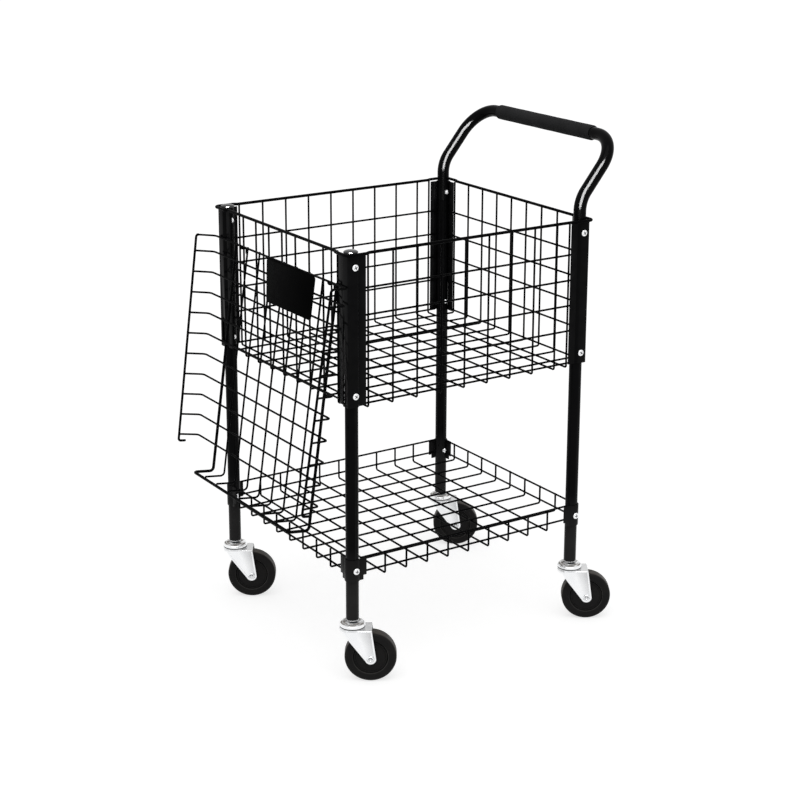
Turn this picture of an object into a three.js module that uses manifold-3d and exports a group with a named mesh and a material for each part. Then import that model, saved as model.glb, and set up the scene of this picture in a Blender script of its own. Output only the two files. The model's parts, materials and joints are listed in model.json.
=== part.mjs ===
import * as THREE from 'three';
import { mergeVertices } from 'three/addons/utils/BufferGeometryUtils.js';
import Module from 'manifold-3d';

const wasm = await Module();
wasm.setup();

// Ball cart for coaching: a welded wire basket and a wire shelf on four tube posts with casters
// Millimetres, +Z up, floor at Z = 0, push handle at the +X end, left side at -Y
// A wire rack hangs at the -X end and swings outwards about its top wire

// Fits and clearances
const FIT = 0.3;
const CUT_OVERRUN = 5;
const BOLT_HOLE_CLEARANCE = 0.4;
const WHEEL_SIDE_CLEARANCE = 1.2;
const WHEEL_BORE_CLEARANCE = 0.4;

// Frame tubes
const FRAME_LENGTH = 524;
const FRAME_WIDTH = 470;
const TUBE_DIAMETER = 25;
const TUBE_WALL = 1.5;
const POST_LENGTH = 714;
const HANDLE_SEAM_DROP = 42;

// Plug in each front post
const PLUG_FLANGE_OVERHANG = 1;
const PLUG_FLANGE_HEIGHT = 2;
const PLUG_DOME_HEIGHT = 4;
const PLUG_DEPTH = 15;

// Basket and shelf wires
const WIRE_DIAMETER = 4;
const WIRE_WELD_SINK = 0.6;
const WIRE_BEND_RADIUS = 7;
const WIRE_OFFSET = 5.7;
const WIRE_END_SETBACK = 15;
const PANEL_BUTT_GAP = 0.3;

// Basket, measured down from the top of the posts
const RIM_WIRE_DIAMETER = 6;
const RIM_BRACKET_GAP = 1.2;
const RIM_CORNER_RADIUS = 10;
const RIM_JOG_START = 30;
const RIM_JOG_END = 22;
const FIRST_WIRE_DROP = 67;
const BASKET_WIRE_PITCH = 51.3;
const BASKET_WIRE_ROWS = 4;
const BASKET_DEPTH = 294;
const SIDE_WIRE_PITCH = 54;
const SIDE_WIRE_INSET = 31;
const END_WIRE_PITCH = 51;

// Upper corner brackets, folded sheet
const SHEET_THICKNESS = 2;
const BRACKET_HEIGHT = 286;
const BRACKET_TOP_DROP = 3;
const POCKET_PAST_AXIS = 5.5;
const FLANGE_INSET = 4.8;
const FLANGE_REACH = 26;
const POCKET_BEND_RADIUS = 3;
const BRACKET_BOLT_INSET = 21.5;
const SLOT_WIDTH = 12;
const SLOT_LENGTH = 56;
const SLOT_BOTTOM_MARGIN = 6;

// Lower corner brackets, wrapped round the posts
const LOWER_BRACKET_HEIGHT = 44;
const LOWER_BRACKET_RISE = 79;
const LOWER_NOTCH_WIDTH = 7;
const LOWER_NOTCH_HEIGHT = 9;

// Shelf tray, measured up from the foot of the posts
const SHELF_FLOOR_RISE = 81;
const SHELF_SECOND_RISE = 94;
const SHELF_RIM_RISE = 122.6;
const SHELF_SIDE_PITCH = 48.5;
const SHELF_SIDE_INSET = 55;
const SHELF_END_PITCH = 52.2;
const SHELF_END_INSET = 64.5;

// Bolts through posts and brackets
const BOLT_DIAMETER = 6;
const BOLT_HEAD_DIAMETER = 13;
const BOLT_HEAD_HEIGHT = 3.5;
const NUT_DIAMETER = 11;
const NUT_HEIGHT = 6;

// Casters
const WHEEL_DIAMETER = 100;
const WHEEL_WIDTH = 28;
const TYRE_SHOULDER = 4;
const TYRE_CROWN_WIDTH = 18;
const WHEEL_DISC_DIAMETER = 64;
const WHEEL_DISC_WIDTH = 20;
const WHEEL_HUB_DIAMETER = 25;
const CASTER_TRAIL = 34.5;
const CASTER_TRAIL_ANGLE = -33;
const AXLE_DIAMETER = 8;
const AXLE_HEAD_DIAMETER = 13.5;
const AXLE_HEAD_HEIGHT = 4;
const FORK_WIDTH = 44;
const FORK_SHEET = 2.5;
const CROWN_CLEARANCE = 5.2;
const CROWN_LEAD = 25;
const CROWN_TRAIL = 37;
const FORK_SKIRT = 6;
const FORK_SKIRT_END = 16;
const FORK_WAIST = 6.5;
const FORK_WAIST_DROP = 21;
const FORK_FOOT_RADIUS = 10.8;
const FORK_FOOT_LEAD_ANGLE = 205;
const FORK_FOOT_TRAIL_ANGLE = 355;
const BEARING_DIAMETER = 50;
const BEARING_HEIGHT = 11;
const BEARING_EDGE = 2.5;
const BEARING_SHOULDER_DIAMETER = 37;
const NECK_HEIGHT = 5.7;
const STEM_LENGTH = 34;
const KINGPIN_DIAMETER = 9;
const KINGPIN_HEAD_DIAMETER = 14;
const KINGPIN_HEAD_HEIGHT = 1;

// Push handle
const HANDLE_KNEE_RISE = 38;
const HANDLE_REACH = 92;
const HANDLE_RISE = 112;
const HANDLE_KNEE_RADIUS = 60;
const HANDLE_CORNER_RADIUS = 65;
const HANDLE_SPIGOT_LENGTH = 38;
const GRIP_LENGTH = 310;
const GRIP_WALL = 2.2;
const GRIP_EDGE = 1.5;

// Hanging rack, measured from the axis of its top wire
const RACK_DROP = 60;
const RACK_STANDOFF = 19;
const RACK_LEAN = 8;
const RACK_TOP_WIDTH = 506;
const RACK_BOTTOM_WIDTH = 480;
const RACK_LENGTH = 470;
const RACK_FIRST_PITCH = 32.5;
const RACK_PITCH = 42.3;
const RACK_WALL_DEPTH = 39;
const RACK_WALL_SPLAY = 9.5;
const RACK_EDGE_DIAMETER = 5;
const RACK_EDGE_PAST = 14;
const RACK_FOOT = 16;
const RACK_BEND_RADIUS = 8;
const RACK_FRAME_DIAMETER = 6;
const RACK_FRAME_LEFT = 211;
const RACK_FRAME_RIGHT = 172;
const RACK_BARS = 7;

// Plate on the rack
const PLATE_TOP_WIDTH = 183;
const PLATE_FOOT_WIDTH = 167;
const PLATE_HEIGHT = 83;
const PLATE_THICKNESS = 1.5;
const PLATE_CORNER_RADIUS = 6;
const PLATE_DROP = 1;
const PLATE_SQUARE_EDGE = -147;

// Hooks that carry the rack
const HOOK_GAPS = [0, 7];
const HOOK_GAP_SHARE = 0.35;
const HOOK_TIP = 4;
const HOOK_SHANK = 9;
const HOOK_BEND_RADIUS = 4.3;

// Facet counts
const TUBE_SIDES = 12;
const WHEEL_SIDES = 20;
const RING_SIDES = 12;
const BOLT_SIDES = 6;
const WIRE_SIDES = 4;
const THICK_WIRE_SIDES = 6;
const BEND_STEPS = 2;
const WIRE_BEND_STEPS = 1;
const WRAP_STEPS = 8;
const TUBE_BEND_STEPS = 3;

// Levels and places that follow from the sizes above
const axleHeight = WHEEL_DIAMETER / 2;
const crownUnder = WHEEL_DIAMETER + CROWN_CLEARANCE;
const crownTop = crownUnder + FORK_SHEET;
const bearingUnder = crownTop + FIT;
const neckUnder = bearingUnder + BEARING_HEIGHT;
const neckTop = neckUnder + NECK_HEIGHT;
const postFoot = neckTop + FIT;
const postTop = postFoot + POST_LENGTH;
const handleSeam = postTop - HANDLE_SEAM_DROP;
const tubeRadius = TUBE_DIAMETER / 2;
const boreRadius = tubeRadius - TUBE_WALL;
const wireRadius = WIRE_DIAMETER / 2;
const crossing = WIRE_DIAMETER - WIRE_WELD_SINK;
const uprightOffset = WIRE_OFFSET + crossing;
const pocketInner = tubeRadius + FIT;
const pocketOuter = pocketInner + SHEET_THICKNESS;
const flangeOuter = pocketOuter - FLANGE_INSET;
const flangeInner = flangeOuter - SHEET_THICKNESS;
const rimRadius = RIM_WIRE_DIAMETER / 2;
const rimOffset = uprightOffset + wireRadius + FIT + rimRadius;
const rimJog = pocketOuter + RIM_BRACKET_GAP + rimRadius;
const bracketTop = postTop - BRACKET_TOP_DROP;
const bracketFoot = bracketTop - BRACKET_HEIGHT;
const lowerFoot = postFoot + LOWER_BRACKET_RISE;
const halfLength = FRAME_LENGTH / 2;
const halfWidth = FRAME_WIDTH / 2;
const holeRadius = BOLT_DIAMETER / 2 + BOLT_HOLE_CLEARANCE;
const degree = Math.PI / 180;

const part = new THREE.Group();

// Corners of the cart: name, sign along X, sign along Y
const corners = [
  ['front_left', -1, -1],
  ['front_right', -1, 1],
  ['rear_left', 1, -1],
  ['rear_right', 1, 1],
];

// Solids and meshes

function solidOf(geometry) {
  const bare = geometry.clone();
  bare.deleteAttribute('normal');
  bare.deleteAttribute('uv');
  const merged = mergeVertices(bare);
  const index = merged.index.array;
  const faces = [];
  for (let i = 0; i < index.length; i += 3) {
    const [a, b, c] = [index[i], index[i + 1], index[i + 2]];
    if (a !== b && b !== c && c !== a) {
      faces.push(a, b, c);
    }
  }
  return new wasm.Manifold(new wasm.Mesh({
    numProp: 3,
    vertProperties: new Float32Array(merged.attributes.position.array),
    triVerts: new Uint32Array(faces),
  }));
}

function joined(solids) {
  return solids.reduce((sum, solid) => sum.add(solid));
}

function place(name, solid, colour, roughness, metalness, parent = part) {
  const data = solid.getMesh();
  const geometry = new THREE.BufferGeometry();
  geometry.setAttribute('position', new THREE.BufferAttribute(data.vertProperties, 3));
  geometry.setIndex(new THREE.BufferAttribute(data.triVerts, 1));
  geometry.computeVertexNormals();
  const material = new THREE.MeshStandardMaterial({ color: colour, roughness, metalness });
  const mesh = new THREE.Mesh(geometry, material);
  mesh.name = name;
  parent.add(mesh);
  return mesh;
}

const powderCoat = [0x101012, 0.32, 0.1];
const blackWire = [0x0d0d0f, 0.42, 0.1];
const blackPlastic = [0x141416, 0.3, 0];
const foam = [0x1c1c1e, 0.92, 0];
const zinc = [0xd2d4d8, 0.22, 1];
const tread = [0x161618, 0.5, 0];
const platePaint = [0x060607, 0.38, 0.1];

// Basic shapes

function point(x, y, z) {
  return new THREE.Vector3(x, y, z);
}

function block(x0, x1, y0, y1, z0, z1) {
  const geometry = new THREE.BoxGeometry(x1 - x0, y1 - y0, z1 - z0);
  geometry.translate((x0 + x1) / 2, (y0 + y1) / 2, (z0 + z1) / 2);
  return solidOf(geometry);
}

function profilePoints(profile) {
  return profile.map(([radius, height]) => new THREE.Vector2(radius, height));
}

// A turned body about Y; the profile runs counter-clockwise in radius and height
function turned(profile, sides, start = 0) {
  return new THREE.LatheGeometry(profilePoints(profile), sides, start);
}

// The same about Z
function turnedUp(profile, sides) {
  const geometry = turned(profile, sides);
  geometry.rotateX(Math.PI / 2);
  return geometry;
}

function tubeRing(outer, inner, z0, z1) {
  return [[outer, z0], [outer, z1], [inner, z1], [inner, z0], [outer, z0]];
}

function drill(radius, x, z, y0, y1, sides = BOLT_SIDES) {
  const geometry = new THREE.CylinderGeometry(radius, radius, y1 - y0, sides);
  geometry.translate(x, (y0 + y1) / 2, z);
  return solidOf(geometry);
}

// A flat outline in X and Y, raised from z0 to z1
function raised(outline, z0, z1) {
  const shape = new THREE.Shape(outline.map(([x, y]) => new THREE.Vector2(x, y)));
  const geometry = new THREE.ExtrudeGeometry(shape, { depth: z1 - z0, bevelEnabled: false });
  geometry.translate(0, 0, z0);
  return geometry;
}

// Section of a wire, with a corner on each side where another wire crosses it
function wireSection(diameter, sides) {
  return Array.from({ length: sides }, (_, i) => {
    const angle = Math.PI / 2 + (2 * Math.PI * i) / sides;
    return [(diameter / 2) * Math.cos(angle), (diameter / 2) * Math.sin(angle)];
  });
}

// Corner radius of a faceted bore whose facets touch the true circle at their middles
function boreReach(radius, sides) {
  return radius / Math.cos(Math.PI / sides);
}

// A line of corners with each inner corner rounded
function rounded(points, radius, steps, closed = false) {
  const path = [];
  points.forEach((corner, i) => {
    if (!closed && (i === 0 || i === points.length - 1)) {
      path.push(corner);
      return;
    }
    const back = points[(i + points.length - 1) % points.length].clone().sub(corner).normalize();
    const ahead = points[(i + 1) % points.length].clone().sub(corner).normalize();
    const half = back.angleTo(ahead) / 2;
    const bend = Array.isArray(radius) ? radius[i] : radius;
    if (bend === 0) {
      path.push(corner);
      return;
    }
    const middle = back.clone().add(ahead).normalize();
    const centre = corner.clone().addScaledVector(middle, bend / Math.sin(half));
    const from = corner.clone().addScaledVector(back, bend / Math.tan(half)).sub(centre);
    const to = corner.clone().addScaledVector(ahead, bend / Math.tan(half)).sub(centre);
    const axis = from.clone().cross(to).normalize();
    for (let k = 0; k <= steps; k += 1) {
      const turn = ((Math.PI - 2 * half) * k) / steps;
      path.push(from.clone().applyAxisAngle(axis, turn).add(centre));
    }
  });
  return path;
}

// A section carried along a path with mitred bends; side is where the section's first axis points
function swept(path, section, side, closed = false) {
  const rings = path.length;
  const sides = section.length;
  const last = rings - 1;
  const ahead = path.map((p, i) => path[(i + 1) % rings].clone().sub(p).normalize());
  const across = side.clone();
  const positions = [];
  path.forEach((centre, i) => {
    const before = i > 0 || closed ? ahead[(i + last) % rings] : ahead[0];
    const after = i < last || closed ? ahead[i] : ahead[last - 1];
    if (i > 0) {
      across.applyQuaternion(new THREE.Quaternion().setFromUnitVectors(before, after));
    }
    const rise = after.clone().cross(across);
    const mitre = before.clone().add(after).normalize();
    section.forEach(([a, b]) => {
      const spot = across.clone().multiplyScalar(a).addScaledVector(rise, b);
      spot.addScaledVector(after, -spot.dot(mitre) / after.dot(mitre));
      positions.push(...spot.add(centre).toArray());
    });
  });
  const index = [];
  for (let i = 0; i < (closed ? rings : last); i += 1) {
    for (let j = 0; j < sides; j += 1) {
      const a = i * sides + j;
      const b = i * sides + ((j + 1) % sides);
      const c = ((i + 1) % rings) * sides + ((j + 1) % sides);
      const d = ((i + 1) % rings) * sides + j;
      index.push(a, b, c, a, c, d);
    }
  }
  if (!closed) {
    for (let j = 1; j < sides - 1; j += 1) {
      index.push(0, j + 1, j, last * sides, last * sides + j, last * sides + j + 1);
    }
  }
  const geometry = new THREE.BufferGeometry();
  geometry.setAttribute('position', new THREE.Float32BufferAttribute(positions, 3));
  geometry.setIndex(index);
  return solidOf(geometry);
}

const thinSection = wireSection(WIRE_DIAMETER, WIRE_SIDES);
const alongX = point(1, 0, 0);
const alongY = point(0, 1, 0);
const alongZ = point(0, 0, 1);

function wire(path, side, section = thinSection) {
  return swept(path, section, side);
}

// How many wires stand on a length, one at its start and then one at each full pitch
function wiresOn(length, pitch) {
  return Math.floor(length / pitch) + 1;
}

function spread(count, pitch) {
  return Array.from({ length: count }, (_, i) => (i - (count - 1) / 2) * pitch);
}

// Posts: round tubes, drilled for the bolts

const upperBolts = [bracketTop - BRACKET_BOLT_INSET, bracketFoot + BRACKET_BOLT_INSET];
const lowerBolt = lowerFoot + LOWER_BRACKET_HEIGHT / 2;
const frontLevels = [...upperBolts, lowerBolt];
const rearLevels = [upperBolts[1], lowerBolt];

function drilledTube(x, y, z0, z1, levels) {
  let tube = solidOf(turnedUp(tubeRing(tubeRadius, boreRadius, z0, z1), TUBE_SIDES));
  for (const level of levels) {
    tube = tube.subtract(drill(holeRadius, 0, level, -TUBE_DIAMETER, TUBE_DIAMETER));
  }
  return tube.translate([x, y, 0]);
}

for (const [corner, sx, sy] of corners) {
  const top = sx < 0 ? postTop : handleSeam - FIT;
  const levels = sx < 0 ? frontLevels : rearLevels;
  const tube = drilledTube(sx * halfLength, sy * halfWidth, postFoot, top, levels);
  place(`post_${corner}`, tube, ...powderCoat);
}

// Plugs: a spigot in the front posts under a low dome

function plug(x, y) {
  const flange = tubeRadius + PLUG_FLANGE_OVERHANG;
  const foot = postTop + FIT;
  const domeFoot = foot + PLUG_FLANGE_HEIGHT;
  const profile = [
    [0, postTop - PLUG_DEPTH],
    [boreRadius - FIT, postTop - PLUG_DEPTH],
    [boreRadius - FIT, foot],
    [flange, foot],
    [flange, domeFoot],
  ];
  for (let k = 1; k <= BEND_STEPS; k += 1) {
    const turn = (Math.PI / 2) * (k / BEND_STEPS);
    profile.push([flange * Math.cos(turn), domeFoot + PLUG_DOME_HEIGHT * Math.sin(turn)]);
  }
  profile[profile.length - 1][0] = 0;
  return solidOf(turnedUp(profile, RING_SIDES)).translate([x, y, 0]);
}

place('plug_front_left', plug(-halfLength, -halfWidth), ...blackPlastic);
place('plug_front_right', plug(-halfLength, halfWidth), ...blackPlastic);

// Upper corner brackets: sheet folded round the post, with a flange along each basket side

const pocketEdge = POCKET_PAST_AXIS;
const stepEdge = POCKET_PAST_AXIS + FLANGE_INSET;

function pocketOutline(sx, sy) {
  const bend = POCKET_BEND_RADIUS;
  const inner = pocketInner;
  const outer = pocketOuter;
  const half = [
    [-FLANGE_REACH, flangeInner],
    [-stepEdge, flangeInner],
    [-pocketEdge, inner],
    [inner, inner],
  ];
  const back = [
    [outer, outer - bend],
    [outer - bend, outer],
    [-pocketEdge, outer],
    [-stepEdge, flangeOuter],
    [-FLANGE_REACH, flangeOuter],
  ];
  const mirror = ([u, v]) => [v, u];
  const inside = [...half, ...half.slice(0, -1).reverse().map(mirror)];
  const outside = [...back.slice(1).reverse().map(mirror).reverse(), ...back.slice(1)];
  const ring = [...inside, ...outside.slice(0, 4).reverse(), ...outside.slice(4)];
  return ring.map(([u, v]) => [sx * u, sy * v]);
}

function upperBracket(sx, sy) {
  let sheet = solidOf(raised(pocketOutline(sx, sy), bracketFoot, bracketTop));
  const outside = sy * (pocketOuter + CUT_OVERRUN);
  for (const level of upperBolts) {
    sheet = sheet.subtract(drill(holeRadius, 0, level, Math.min(0, outside), Math.max(0, outside)));
  }
  const slotFoot = bracketFoot + SLOT_BOTTOM_MARGIN;
  const slotTop = slotFoot + SLOT_LENGTH;
  const slotRadius = SLOT_WIDTH / 2;
  const shape = new THREE.Shape();
  shape.absarc(0, slotTop - slotRadius, slotRadius, 0, Math.PI, false);
  shape.absarc(0, slotFoot + slotRadius, slotRadius, Math.PI, 2 * Math.PI, false);
  const depth = pocketOuter + CUT_OVERRUN;
  const cut = new THREE.ExtrudeGeometry(shape, { depth, bevelEnabled: false, curveSegments: 3 });
  cut.rotateX(Math.PI / 2);
  cut.rotateZ(sx * (Math.PI / 2));
  sheet = sheet.subtract(solidOf(cut));
  return sheet.translate([sx * halfLength, sy * halfWidth, 0]);
}

for (const [corner, sx, sy] of corners) {
  place(`upper_bracket_${corner}`, upperBracket(sx, sy), ...powderCoat);
}

// Lower corner brackets: a wrap round the post with two notched flanges

function wrapOutline(sx, sy) {
  const line = [[-FLANGE_REACH, flangeInner]];
  const innerStart = Math.PI - Math.asin(flangeInner / pocketInner);
  const outerStart = Math.PI - Math.asin(flangeOuter / pocketOuter);
  const steps = WRAP_STEPS;
  for (let k = 0; k <= steps; k += 1) {
    const turn = innerStart + (Math.PI / 2 - 2 * innerStart) * (k / steps);
    line.push([pocketInner * Math.cos(turn), pocketInner * Math.sin(turn)]);
  }
  line.push([flangeInner, -FLANGE_REACH], [flangeOuter, -FLANGE_REACH]);
  for (let k = steps; k >= 0; k -= 1) {
    const turn = outerStart + (Math.PI / 2 - 2 * outerStart) * (k / steps);
    line.push([pocketOuter * Math.cos(turn), pocketOuter * Math.sin(turn)]);
  }
  line.push([-FLANGE_REACH, flangeOuter]);
  return line.map(([u, v]) => [sx * u, sy * v]);
}

function lowerBracket(sx, sy) {
  const top = lowerFoot + LOWER_BRACKET_HEIGHT;
  let sheet = solidOf(raised(wrapOutline(sx, sy), lowerFoot, top));
  const outside = sy * (pocketOuter + CUT_OVERRUN);
  sheet = sheet.subtract(drill(holeRadius, 0, lowerBolt, Math.min(0, outside), Math.max(0, outside)));
  const notch = FLANGE_REACH - LOWER_NOTCH_WIDTH;
  const past = FLANGE_REACH + CUT_OVERRUN;
  for (const [u0, u1, v0, v1] of [[-past, -notch, 0, past], [0, past, -past, -notch]]) {
    const [x0, x1] = [sx * u0, sx * u1].sort((a, b) => a - b);
    const [y0, y1] = [sy * v0, sy * v1].sort((a, b) => a - b);
    const foot = lowerFoot - CUT_OVERRUN;
    sheet = sheet.subtract(block(x0, x1, y0, y1, foot, lowerFoot + LOWER_NOTCH_HEIGHT));
  }
  return sheet.translate([sx * halfLength, sy * halfWidth, 0]);
}

for (const [corner, sx, sy] of corners) {
  place(`lower_bracket_${corner}`, lowerBracket(sx, sy), ...powderCoat);
}

// Bolts: a domed head outside the bracket and a domed nut on the inner side of the tube

function bolt(x, y, z, sy) {
  const seat = pocketOuter + FIT;
  const nutFace = -tubeRadius - FIT;
  const shank = BOLT_DIAMETER / 2;
  const head = BOLT_HEAD_DIAMETER / 2;
  const nut = NUT_DIAMETER / 2;
  const profile = [
    [0, nutFace - NUT_HEIGHT],
    [shank, nutFace - NUT_HEIGHT],
    [nut, nutFace],
    [shank, nutFace],
    [shank, seat],
    [head, seat],
    [shank, seat + BOLT_HEAD_HEIGHT],
    [0, seat + BOLT_HEAD_HEIGHT],
  ];
  const geometry = turned(profile, BOLT_SIDES);
  if (sy < 0) {
    geometry.rotateZ(Math.PI);
  }
  geometry.translate(x, y, z);
  return solidOf(geometry);
}

const boltNames = ['top', 'middle', 'low'];
for (const [corner, sx, sy] of corners) {
  frontLevels.forEach((level, i) => {
    const name = `bolt_${boltNames[i]}_${corner}`;
    place(name, bolt(sx * halfLength, sy * halfWidth, level, sy), ...zinc);
  });
}

// Rim: one thick wire round the top, stepping outwards round each corner bracket

function rimWire() {
  const line = [];
  const turnOrder = [[1, 1], [-1, 1], [-1, -1], [1, -1]];
  for (const [sx, sy] of turnOrder) {
    const alongSide = [
      [-RIM_JOG_START, rimOffset],
      [-RIM_JOG_END, rimJog],
      [rimJog, rimJog],
    ];
    const alongEnd = alongSide.slice(0, 2).map(([u, v]) => [v, u]).reverse();
    const jog = [...alongSide, ...alongEnd];
    const ordered = sx * sy > 0 ? jog.reverse() : jog;
    for (const [u, v] of ordered) {
      line.push(point(sx * (halfLength + u), sy * (halfWidth + v), postTop));
    }
  }
  const bends = line.map((_, i) => (i % 5 === 2 ? RIM_CORNER_RADIUS : 0));
  const section = wireSection(RIM_WIRE_DIAMETER, THICK_WIRE_SIDES);
  return swept(rounded(line, bends, BEND_STEPS, true), section, alongZ, true);
}

place('basket_rim', rimWire(), ...blackWire);

// Wire walls: level wires inside, uprights outside that turn under into the floor

const wireReachX = halfLength - WIRE_END_SETBACK;
const wireReachY = halfWidth - WIRE_END_SETBACK;

function bentUpright(at, offset, top, floor, endwise) {
  const turned90 = ([out, z]) => (endwise ? point(out, at, z) : point(at, out, z));
  const sign = Math.sign(offset);
  const line = [
    [offset, top],
    [offset, floor],
    [offset - sign * (WIRE_BEND_RADIUS + wireRadius), floor],
  ].map(turned90);
  const path = rounded(line, WIRE_BEND_RADIUS, WIRE_BEND_STEPS);
  return wire(path, endwise ? alongY : alongX);
}

function levelWire(offset, z, reach, endwise) {
  const ends = [-reach, reach].map((s) => (endwise ? point(offset, s, z) : point(s, offset, z)));
  return wire(ends, alongZ);
}

const sideFloor = postTop - BASKET_DEPTH;
const endFloor = sideFloor + crossing;
const sideFirst = SIDE_WIRE_INSET - halfLength;
const sideWires = spread(wiresOn(-2 * sideFirst, SIDE_WIRE_PITCH), SIDE_WIRE_PITCH);
const sidePlaces = [...sideWires.map((x) => x - sideWires[0] + sideFirst), -sideFirst];
const endPlaces = spread(wiresOn(2 * wireReachY, END_WIRE_PITCH), END_WIRE_PITCH);

function basketWall(sign, endwise) {
  const half = endwise ? halfLength : halfWidth;
  const floor = endwise ? endFloor : sideFloor;
  const reach = endwise ? wireReachY : wireReachX;
  const levels = [floor + WIRE_BEND_RADIUS];
  for (let row = 0; row < BASKET_WIRE_ROWS; row += 1) {
    levels.push(postTop - FIRST_WIRE_DROP - row * BASKET_WIRE_PITCH);
  }
  const level = levels.map((z) => levelWire(sign * (half + WIRE_OFFSET), z, reach, endwise));
  const places = endwise ? endPlaces : sidePlaces;
  const offset = sign * (half + uprightOffset);
  const uprights = places.map((at) => bentUpright(at, offset, postTop, floor, endwise));
  return joined([...level, ...uprights]);
}

place('basket_wall_left', basketWall(-1, false), ...blackWire);
place('basket_wall_right', basketWall(1, false), ...blackWire);
place('basket_wall_front', basketWall(-1, true), ...blackWire);
place('basket_wall_rear', basketWall(1, true), ...blackWire);

// Basket floor: the grid between the turned-under ends of the walls

function basketFloor() {
  const tuck = WIRE_BEND_RADIUS + wireRadius + PANEL_BUTT_GAP;
  const reachY = halfWidth + uprightOffset - tuck;
  const reachX = halfLength + uprightOffset - tuck;
  const lower = sidePlaces.map((x) => {
    return wire([point(x, -reachY, sideFloor), point(x, reachY, sideFloor)], alongX);
  });
  const upper = endPlaces.map((y) => {
    return wire([point(-reachX, y, endFloor), point(reachX, y, endFloor)], alongY);
  });
  return joined([...lower, ...upper]);
}

place('basket_floor', basketFloor(), ...blackWire);

// Shelf: a shallow tray of the same wires in one piece

function shelf() {
  const lowFloor = postFoot + SHELF_FLOOR_RISE;
  const highFloor = lowFloor + crossing;
  const rim = postFoot + SHELF_RIM_RISE;
  const second = postFoot + SHELF_SECOND_RISE;
  const pieces = [];
  const sideCount = wiresOn(FRAME_LENGTH - 2 * SHELF_SIDE_INSET, SHELF_SIDE_PITCH);
  for (const x of spread(sideCount, SHELF_SIDE_PITCH)) {
    const reach = halfWidth + uprightOffset;
    const line = [[-reach, rim], [-reach, lowFloor], [reach, lowFloor], [reach, rim]];
    const path = rounded(line.map(([y, z]) => point(x, y, z)), WIRE_BEND_RADIUS, WIRE_BEND_STEPS);
    pieces.push(wire(path, alongX));
  }
  const endFirst = SHELF_END_INSET - halfWidth;
  const endCount = wiresOn(wireReachY - endFirst, SHELF_END_PITCH);
  for (let k = 0; k < endCount; k += 1) {
    const y = endFirst + k * SHELF_END_PITCH;
    const reach = halfLength + uprightOffset;
    const line = [[-reach, rim], [-reach, highFloor], [reach, highFloor], [reach, rim]];
    const path = rounded(line.map(([x, z]) => point(x, y, z)), WIRE_BEND_RADIUS, WIRE_BEND_STEPS);
    pieces.push(wire(path, alongY));
  }
  for (const z of [rim, second]) {
    for (const sign of [-1, 1]) {
      pieces.push(levelWire(sign * (halfWidth + WIRE_OFFSET), z, wireReachX, false));
      pieces.push(levelWire(sign * (halfLength + WIRE_OFFSET), z, wireReachY, true));
    }
  }
  return joined(pieces);
}

place('shelf_tray', shelf(), ...blackWire);

// Push handle: one bent tube, sleeved into the rear posts, with a foam grip

const handleKnee = postTop + HANDLE_KNEE_RISE;
const handleBarX = halfLength + HANDLE_REACH;
const handleBarZ = handleKnee + HANDLE_RISE;

function roundSection(radius) {
  return Array.from({ length: TUBE_SIDES }, (_, i) => {
    const angle = (2 * Math.PI * i) / TUBE_SIDES;
    return [radius * Math.cos(angle), radius * Math.sin(angle)];
  });
}

function handlePath(foot) {
  const side = [
    [halfLength, foot],
    [halfLength, handleKnee],
    [handleBarX, handleBarZ],
  ];
  const near = side.map(([x, z]) => point(x, -halfWidth, z));
  const far = side.map(([x, z]) => point(x, halfWidth, z)).reverse();
  const bends = [0, HANDLE_KNEE_RADIUS, HANDLE_CORNER_RADIUS];
  return rounded([...near, ...far], [...bends, ...bends.slice().reverse()], TUBE_BEND_STEPS);
}

function handle() {
  const spigotFoot = handleSeam - HANDLE_SPIGOT_LENGTH;
  const spigotRadius = boreRadius - FIT;
  let tube = swept(handlePath(handleSeam), roundSection(tubeRadius), alongX);
  for (const sy of [-1, 1]) {
    const spigot = turnedUp([
      [0, spigotFoot],
      [spigotRadius, spigotFoot],
      [spigotRadius, handleSeam + TUBE_WALL],
      [0, handleSeam + TUBE_WALL],
    ], TUBE_SIDES);
    spigot.translate(halfLength, sy * halfWidth, 0);
    tube = tube.add(solidOf(spigot));
  }
  const boreFoot = spigotFoot - CUT_OVERRUN;
  const bore = spigotRadius - TUBE_WALL;
  for (const sy of [-1, 1]) {
    const hollow = turnedUp([[0, boreFoot], [bore, boreFoot], [bore, postTop], [0, postTop]], TUBE_SIDES);
    hollow.translate(halfLength, sy * halfWidth, 0);
    const y0 = sy * halfWidth - TUBE_DIAMETER;
    const y1 = sy * halfWidth + TUBE_DIAMETER;
    tube = tube.subtract(solidOf(hollow)).subtract(drill(holeRadius, halfLength, upperBolts[0], y0, y1));
  }
  return tube;
}

place('push_handle', handle(), ...powderCoat);

function grip() {
  const inner = boreReach(tubeRadius + FIT, TUBE_SIDES);
  const outer = inner + GRIP_WALL;
  const end = GRIP_LENGTH / 2;
  const profile = [
    [inner, -end],
    [outer - GRIP_EDGE, -end],
    [outer, -end + GRIP_EDGE],
    [outer, end - GRIP_EDGE],
    [outer - GRIP_EDGE, end],
    [inner, end],
    [inner, -end],
  ];
  const geometry = turned(profile, TUBE_SIDES);
  geometry.translate(handleBarX, 0, handleBarZ);
  return solidOf(geometry);
}

place('foam_grip', grip(), ...foam);

// Casters: a bearing ring with its stem in the post, a pressed fork, an axle and a wheel

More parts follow.
